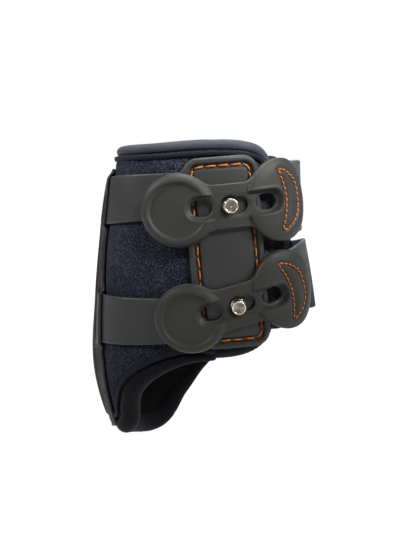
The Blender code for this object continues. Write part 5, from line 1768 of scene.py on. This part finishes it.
@dataclass
class Tab:
    """A rubber tab hooked on its stud, with the crescent that sews it to its strap."""

    name: str
    place: Array
    slope: float
    finishes: Finishes
    step: float = 0.00062

    @property
    def squeeze(self) -> float:
        """The larger disc's width over its height."""
        return DISC_SQUEEZES[self.name]

    def outline(self) -> Array:
        """Two discs joined by a filleted neck, in the tab's own directions."""
        half, fillet = NECK_WIDTH / 2, NECK_FILLET

        def meeting(radius: float, offset: float, side: int) -> tuple[float, float]:
            """Where a fillet's middle lies, and its angle from the disc's middle."""
            run = math.sqrt((radius + fillet) ** 2 - (half + fillet) ** 2)
            return offset - side * run, math.atan2(half + fillet, -side * run)

        def arc(x: float, y: float, radius: float, start: float, end: float) -> Array:
            """Points of an arc."""
            angle = np.linspace(start, end, max(4, int(abs(end - start) * radius / 0.0004)))
            return np.stack([x + radius * np.cos(angle), y + radius * np.sin(angle)], axis=1)

        inner = DISC_OFFSET - DISC_RADIUS
        shift = DISC_RADIUS * (1 - self.squeeze)
        left_x, left_angle = meeting(GRIP_RADIUS, -GRIP_OFFSET, -1)
        right_x, right_angle = meeting(DISC_RADIUS, DISC_OFFSET, 1)
        upper = np.vstack([
            arc(DISC_OFFSET, 0, DISC_RADIUS, 0, right_angle),
            arc(right_x, half + fillet, fillet, right_angle - math.pi, -math.pi / 2)[1:],
            arc(left_x, half + fillet, fillet, -math.pi / 2, left_angle - math.pi),
            arc(-GRIP_OFFSET, 0, GRIP_RADIUS, left_angle, math.pi)[1:],
        ])
        lower = upper[1:-1][::-1] * (1, -1)
        line = np.vstack([upper, lower])
        line[:, 0] = np.interp(
            line[:, 0], (-0.06, -0.004, inner, DISC_OFFSET, DISC_OFFSET + DISC_RADIUS),
            (-0.06, -0.004, inner + shift, DISC_OFFSET, DISC_OFFSET + DISC_RADIUS - shift),
        )
        return line

    def hole(self, along: float, radius: float, offset: float) -> Array:
        """A hole: a round eye with a lobe towards the strap."""
        eye = circle(0, 0, radius, 0.0004)
        lobe = circle(offset, 0, LOBE_RADIUS, 0.0004)
        eye = eye[np.hypot(eye[:, 0] - offset, eye[:, 1]) > LOBE_RADIUS]
        lobe = lobe[np.hypot(lobe[:, 0], lobe[:, 1]) > radius]
        both = np.vstack([eye, lobe])
        order = np.argsort(np.arctan2(both[:, 1], both[:, 0] - offset / 2))
        return both[order] + (along, 0)

    def crescent(self, inset: float = 0.0) -> Array:
        """The sewn crescent: two bows between the same two tips, its tips rounded."""
        v = np.linspace(-1, 1, 41)
        outer, inner = 1 - np.abs(v) ** 3, 1 - v**2
        height = CRESCENT_HALF_HEIGHT * v
        blunt = 0.0012 * np.sqrt(np.clip(1 - v**8, 0, 1))
        right = np.stack([CRESCENT_OUTER_BULGE * outer - CRESCENT_TIP + blunt, height], axis=1)
        left = np.stack([CRESCENT_INNER_BULGE * inner - CRESCENT_TIP - blunt, height], axis=1)[::-1]
        line = np.vstack([right, left[1:-1]])
        line[:, 0] *= self.squeeze / DISC_SQUEEZES["upper"]
        line += (DISC_OFFSET, 0)
        line = evenly(line, 0.0004, closed=True)
        for _ in range(8):
            line = line + 0.5 * ((np.roll(line, 1, axis=0) + np.roll(line, -1, axis=0)) / 2 - line)
        if inset:
            line = Outline(line).inset(inset, 0.0005)
        return line

    def disc_face(self, xy: Array) -> Array:
        """The two discs' upper faces without their channels."""
        bevel = Profile(
            (0, 0.0003, 0.0010, 0.0022, 0.0034, 0.0044, 0.0050, 0.0055, 0.0060, 0.0068, 0.03),
            (2.7, 3.2, 4.5, 5.6, 6.15, 6.30, 6.25, 5.4, 4.65, 4.55, 4.80),
            0.00024,
        )
        left = GRIP_RADIUS - np.hypot(xy[:, 0] + GRIP_OFFSET, xy[:, 1])
        grip = bevel(np.clip(left, 0, 0.0299)) / 1000
        right = np.hypot((xy[:, 0] - DISC_OFFSET) / self.squeeze, xy[:, 1]) / DISC_RADIUS
        fall = 1 - np.sqrt(np.clip(1 - np.clip((right - 0.66) / 0.36, 0, 1) ** 2, 0, 1))
        dome = NECK_THICKNESS + (DISC_HEIGHT - NECK_THICKNESS) * (1 - fall) * (1 - 0.04 * right**2)
        face = np.where(left > 0, grip, NECK_THICKNESS)
        return np.where(right < 1, np.maximum(dome, NECK_THICKNESS), face)

    def relief(self, xy: Array) -> Array:
        """The tab's upper face.

        height = the discs' faces, cut down to the neck's level in the two channels, less the
        sewn groove round the crescent, plus the low ridge inside it.
        """
        x, y = xy[:, 0], xy[:, 1]
        face = self.disc_face(xy)
        cut = NECK_THICKNESS - 0.0001
        for side in (-1, 1):
            middle = CHANNEL_MIDDLES[side]
            beyond = np.maximum(side * x - middle, 0)
            from_axis = np.where(side * x > 0, np.hypot(beyond, y), 1.0)
            soft = 0.0004 + 0.0009 * ramp(side * x, middle - 0.004, middle + 0.003)
            start, end = CHANNEL_HALF_WIDTH - soft, CHANNEL_HALF_WIDTH + 0.0004 + 0.4 * soft
            open_share = 1 - ramp((from_axis - start) / (end - start), 0, 1)
            lip = 0.00035 * np.exp(-(((from_axis - end - 0.0005) / 0.0007) ** 2))
            face = face + lip * (face > NECK_THICKNESS + 0.001)
            face = face * (1 - open_share) + np.minimum(face, cut) * open_share
        for along, radius, offset in HOLES:
            eye = np.hypot(x - along, y) - radius
            lobe = np.hypot(x - along - offset, y) - LOBE_RADIUS
            face = face - 0.0007 * (1 - ramp(lobe, 0.0, 0.0024))
            face = face - 0.00025 * (1 - ramp(eye, 0, 0.0012))
        crescent = Outline(self.crescent())
        apart = crescent.signed(xy)
        groove = 0.0012 * np.exp(-((apart / 0.0011) ** 2 * 0.9))
        ridge = 0.0006 * ramp(-apart, 0.0010, 0.0030)
        return face - groove + np.where(apart < 0, ridge, 0)

    def under(self, xy: Array) -> Array:
        """The tab's lower face, hollow where the strap is sewn in."""
        start = DISC_OFFSET + DISC_RADIUS * self.squeeze - STRAP_THICKNESS - TONGUE_LENGTH
        hollow = ramp(xy[:, 0], start - 0.0010, start - 0.0003)
        hollow = hollow * (1 - ramp(np.abs(xy[:, 1]), 0.0226, 0.0229))
        return hollow * (STRAP_THICKNESS + 2 * LAYER_GAP)

    def laid(self, flat: Array) -> tuple[Array, Array]:
        """World points of places in the tab's own directions."""
        turned = turned_by(flat[:, :2], self.slope, self.place)
        return WALL.lay(np.column_stack([turned, flat[:, 2] + TAB_LIFT]), stretched=False)

    def build(self) -> None:
        """Makes the tab and its crescent of stitches."""
        outline = Outline(self.outline())
        holes = [Outline(self.hole(*hole)) for hole in HOLES]
        guides = [circle(-GRIP_OFFSET, 0, GRIP_RADIUS - d, 0.0006)
                  for d in (0.0034, 0.0044, 0.0049, 0.0053, 0.0057, 0.0062, 0.0070)]
        for offset in (-0.0006, 0.0, 0.0004, 0.0008):
            half = CHANNEL_HALF_WIDTH + offset
            for side in (-1, 1):
                middle = CHANNEL_MIDDLES[side]
                run = np.arange(0.009, middle, 0.0005)
                straight = np.stack([side * run, np.full(len(run), half)], axis=1)
                bend = circle(side * middle, 0, half, 0.0005)
                bend = bend[side * (bend[:, 0] - side * middle) > 0]
                guides += [straight, straight * (1, -1), bend]
        guides += [self.crescent(d) for d in (-0.0011, -0.0006, 0.0, 0.0006, 0.0011)]
        flat = Moulding(
            outer=outline, holes=holes, top=self.relief, bottom=self.under, step=self.step,
            edge_step=0.0005, edge_radius=0.0008, guides=guides,
        ).build()
        points, _ = self.laid(flat.points)
        body = f"{self.name}_closing_tab"
        tab = Piece.moulded(f"{self.name}_rubber_tab", flat, points, self.finishes.rubber)
        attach(tab, body)
        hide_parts(f"{self.name}_tab")
        seam = self.crescent()
        lifted = np.column_stack([seam, self.relief(seam) + 0.0003])
        path, normals = self.laid(lifted)
        thread = Thread(CRESCENT_THREAD_RADIUS, CRESCENT_STITCH_PITCH, CRESCENT_STITCH_LENGTH, 11)
        stitches = thread.sew(
            f"{self.name}_tab_stitches", path, normals, self.finishes.thread
        )
        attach(stitches, body)


@dataclass
class Strap:
    """A woven elastic strap, sewn under its tab and carried round the front of the leg."""

    name: str
    place: Array
    slope: float
    end_height: float
    finishes: Finishes
    along_step: float = 0.0012
    across_count: int = 36

    def run(self) -> tuple[Array, float]:
        """The strap's flat start at the tab's rim, and how far it runs along the girth."""
        reach = DISC_OFFSET + DISC_RADIUS * DISC_SQUEEZES[self.name]
        reach += 2 * LAYER_GAP - STRAP_THICKNESS
        start = turned_by([(reach, 0)], self.slope, self.place)[0]
        shell = (1 + SHELL_FRONT_SHARE) * float(WALL.girth(self.end_height))
        return start, shell + STRAP_UNDER_SHELL - start[0]

    def route(self, x: Array) -> tuple[Array, Array, Array]:
        """The strap's middle line.

        Before its start the strap lies straight under the tab. After it, height = start +
        rise (1 - exp(-x / turn)) + fall t t (3 - 2 t), and the lift sinks smoothly from the
        tab's level to the liner's.

        Args:
            x: places along the girth, from the tab's rim.

        Returns:
            The flat places' x, their height and their lift.
        """
        start, length = self.run()
        t = np.clip(x / length, 0, 1)
        rise = math.tan(self.slope) * STRAP_TURN_LENGTH
        fall = self.end_height - start[1] - rise
        turning = rise * (1 - np.exp(-np.maximum(x, 0) / STRAP_TURN_LENGTH))
        climbing = start[1] + turning + fall * t * t * (3 - 2 * t)
        height = np.where(x < 0, start[1] + x * math.tan(self.slope), climbing)
        sink = ramp(t, STRAP_CLIMB_START_SHARE, STRAP_CLIMB_END_SHARE)
        return start[0] + x, height, TAB_LIFT * (1 - sink) + LAYER_GAP * sink


    def build(self) -> None:
        """Makes the strap as one closed sheet with rounded edges."""
        _, length = self.run()
        tongue = TONGUE_LENGTH * math.cos(self.slope)
        x = np.linspace(-tongue, length, int((length + tongue) / self.along_step))
        px, py, lift = self.route(x)
        small = 1e-4
        _, ahead, _ = self.route(x + small)
        _, behind, _ = self.route(x - small)
        steep = np.arctan2(ahead - behind, 2 * small)
        across = np.linspace(-1, 1, self.across_count)
        across = np.sign(across) * (1 - (1 - np.abs(across)) ** 1.3)
        half = STRAP_WIDTH / 2
        edge = np.clip((1 - np.abs(across)) * half / (STRAP_THICKNESS / 2), 0, 1)
        bulge = STRAP_THICKNESS / 2 * np.sqrt(np.clip(1 - (1 - edge) ** 2, 0.01, 1))
        edge_band = 0.00012 * np.exp(-(((1 - np.abs(across)) * half / 0.0012 - 1) ** 2))
        top = STRAP_THICKNESS / 2 + bulge + edge_band
        low = STRAP_THICKNESS / 2 - bulge
        v = np.concatenate([across, across[::-1]]) * half
        z = np.concatenate([top, low[::-1]])
        rows, around = len(x), len(v)
        ripple = 0.00010 * np.sin(x * 2 * math.pi / 0.009)[:, None] * np.ones(around)
        ripple *= ramp(x, 0.002, 0.012)[:, None]
        flat = np.stack([
            px[:, None] - v * np.sin(steep)[:, None],
            py[:, None] + v * np.cos(steep)[:, None],
            lift[:, None] + z + ripple * 0.5,
        ], axis=-1).reshape(-1, 3)
        points, normals = WALL.lay(flat, stretched=False)
        level = flat.copy()
        level[:, 1] = np.repeat(py, around)
        upright, _ = WALL.lay(level, stretched=False)
        upright[:, 2] += flat[:, 1] - level[:, 1]
        free = ramp(x, 0.0, 0.009) * (1 - ramp(x, length - 0.034, length - 0.016))
        free = np.repeat(free, around)[:, None]
        straight = STRAP_STRAIGHTNESS[self.name] * free
        points = points * (1 - straight) + upright * straight
        tilt = np.tile(v / half, rows)[:, None] * STRAP_LEANS[self.name]
        points = points + free * (tilt + STRAP_BOWS[self.name]) * normals
        index = np.arange(rows * around).reshape(rows, around)
        lower = np.arange(len(across) - 1)
        caps = []
        for row, turn in ((index[0], 1), (index[-1], -1)):
            strip = np.column_stack([
                row[lower], row[lower + 1], row[around - 2 - lower], row[around - 1 - lower]
            ])
            caps.append(strip[:, ::turn])
        faces = np.vstack([grid_faces(index), *caps])
        uv = np.column_stack([np.repeat(x, around), np.tile(v, rows)])
        # The edge band that the woven finish paints lighter, partly as a painted highlight.
        edge_band = np.tile(ramp(np.abs(v), half - 0.0012, half - 0.0004), rows)
        strap = Piece.make(
            f"{self.name}_elastic", points, faces, self.finishes.web, flat=uv, wear=edge_band,
            crease_deg=60,
        )
        for share in (0.55, 0.02):
            spot = self.route(np.array([share * length]))
            at, _ = WALL.lay(np.column_stack(spot), stretched=False)
        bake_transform(strap)
        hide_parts(f"{self.name}_strap", f"{self.name}_strap_tongue")


class HiddenPieces:
    """The foam pad and the washers, which stay as they are under what covers them."""

    def __init__(self, nodes: dict, finishes: Finishes) -> None:
        dress = {
            "shock_pad": finishes.foam,
            "upper_stud_washer": finishes.washer,
            "lower_stud_washer": finishes.washer,
        }
        for name, material in dress.items():
            thing = nodes[name]
            for slot in thing.material_slots:
                slot.material = material
            LOG.info("dressed %s", name)


class Studio:
    """The pale floor and backdrop, the soft lights and the camera."""

    @staticmethod
    def backdrop(name: str) -> Material:
        """A near-white paper that shows white to the camera and keeps soft shadows."""
        dress = Dress(name)
        paper = dress.mix(dress.cloud(4.0), (247, 247, 247), (252, 252, 252))
        rays = dress.outs("ShaderNodeLightPath")
        seen = dress.math("MAXIMUM", rays["Is Camera Ray"], rays["Is Glossy Ray"])
        seen = dress.math("MAXIMUM", seen, rays["Is Transmission Ray"])
        dress.set(base_color=dress.mix(seen, (150, 150, 150), paper), roughness=0.9)
        place = dress.out("ShaderNodeTexCoord", "Object")
        away = dress.out("ShaderNodeVectorMath", "Value", {0: place}, operation="LENGTH")
        far = dress.map(away, 0.10, 0.5, 0.84, 1.0)
        lit = Value(dress, dress.shader.outputs[0])
        glow = dress.out("ShaderNodeEmission", 0, {"Color": (1, 1, 1, 1), "Strength": 1.16})
        mixed = dress.out("ShaderNodeMixShader", 0, {0: seen * far, 1: lit, 2: glow})
        dress.feed(dress.tree.nodes["Material Output"].inputs["Surface"], mixed)
        return dress.material

    def floor(self) -> None:
        """A wide floor just under the boot."""
        half, low = 3.0, CAD_BOUNDS[0][2] - 0.0021
        points = [(-half, -half, low), (half, -half, low), (half, half, low), (-half, half, low)]
        thing = Piece.make("studio_floor", points, [[0, 1, 2, 3]], self.backdrop("studio paper"))

    def world(self) -> None:
        """White all round to the camera, softer for what it lights."""
        world = bpy.data.worlds.new("studio")
        bpy.context.scene.world = world
        world.use_nodes = True
        tree = Tree(world.node_tree)
        rays = tree.outs("ShaderNodeLightPath")
        seen = tree.math("MAXIMUM", rays["Is Camera Ray"], rays["Is Transmission Ray"])
        seen = tree.math("MAXIMUM", seen, rays["Is Glossy Ray"] * 0.14)
        back = world.node_tree.nodes["Background"]
        back.inputs["Color"].default_value = (1, 1, 1, 1)
        tree.feed(back.inputs["Strength"], tree.map(seen, 0.0, 1.0, 0.05, 1.0))

    @staticmethod
    def lamp(name: str, kind: str, place: Sequence[float], aim: float, power: float,
             **settings: float) -> None:
        """A soft light that looks at a height on the boot's axis."""
        light = bpy.data.lights.new(name, kind)
        light.energy = power
        for key, value in settings.items():
            setattr(light, key, value)
        thing = bpy.data.objects.new(name, light)
        bpy.context.scene.collection.objects.link(thing)
        away = Vector(place) - Vector((0, 0, aim))
        turn = away.to_track_quat("Z", "Y").to_matrix().to_4x4()
        thing.matrix_world = Matrix.Translation(place) @ turn

    def camera(self) -> None:
        """The camera at the photograph's angle and distance."""
        lens = bpy.data.cameras.new("camera")
        lens.sensor_width = SENSOR_MM
        lens.lens = SENSOR_MM * FOCAL_PX / FRAME_HEIGHT_PX
        lens.clip_start = 0.01
        thing = bpy.data.objects.new("camera", lens)
        bpy.context.scene.collection.objects.link(thing)
        target = Vector(CAMERA_TARGET)
        level = math.cos(CAMERA_ELEVATION)
        away = Vector((
            math.sin(CAMERA_AZIMUTH) * level, -math.cos(CAMERA_AZIMUTH) * level,
            math.sin(CAMERA_ELEVATION),
        ))
        turn = away.to_track_quat("Z", "Y").to_matrix().to_4x4()
        thing.matrix_world = Matrix.Translation(target + CAMERA_DISTANCE * away) @ turn
        bpy.context.scene.camera = thing

    def build(self) -> None:
        """Sets the studio up."""
        self.floor()
        self.world()
        cone = {"spot_size": math.radians(42), "spot_blend": 1.0, "shadow_soft_size": 0.10}
        narrow = dict(cone, spot_size=math.radians(23))
        self.lamp("right light", "SPOT", (0.72, -0.24, 0.62), 0.31, 23.0, **cone)
        self.lamp("left light", "SPOT", (-0.68, -0.34, 0.62), 0.31, 20.0, **cone)
        self.lamp("front light", "SPOT", (0.46, -0.52, 0.74), 0.28, 40.0, **narrow)
        self.lamp("top light", "AREA", (0.05, 0.08, 1.0), 0.11, 5.6, size=0.35)
        self.lamp("back light", "AREA", (0.1, 1.2, 0.6), 0.11, 1.0, size=1.0)
        self.camera()
        bpy.context.scene.view_settings.view_transform = "Standard"


def main() -> None:
    """Builds the boot's pieces and the studio."""
    finishes = Finishes()
    pattern = Pattern()
    pattern.draw()
    Wrap(pattern, finishes).build()
    Shell(pattern, finishes).build()
    Plate(finishes).build()
    studs = Closure.studs()
    slopes = {"upper": UPPER_SLOPE, "lower": LOWER_SLOPE}
    end = UPPER_STRAP_END_SHARE * WALL.HEIGHT
    ends = {"upper": end, "lower": end - STRAP_WIDTH - STRAP_END_SPACING}
    for name, place in studs.items():
        Tab(name, place, slopes[name], finishes).build()
        Strap(name, place, slopes[name], ends[name], finishes).build()
    HiddenPieces(frame["nodes"], finishes)
    Studio().build()


if __name__ == "__main__":
    main()
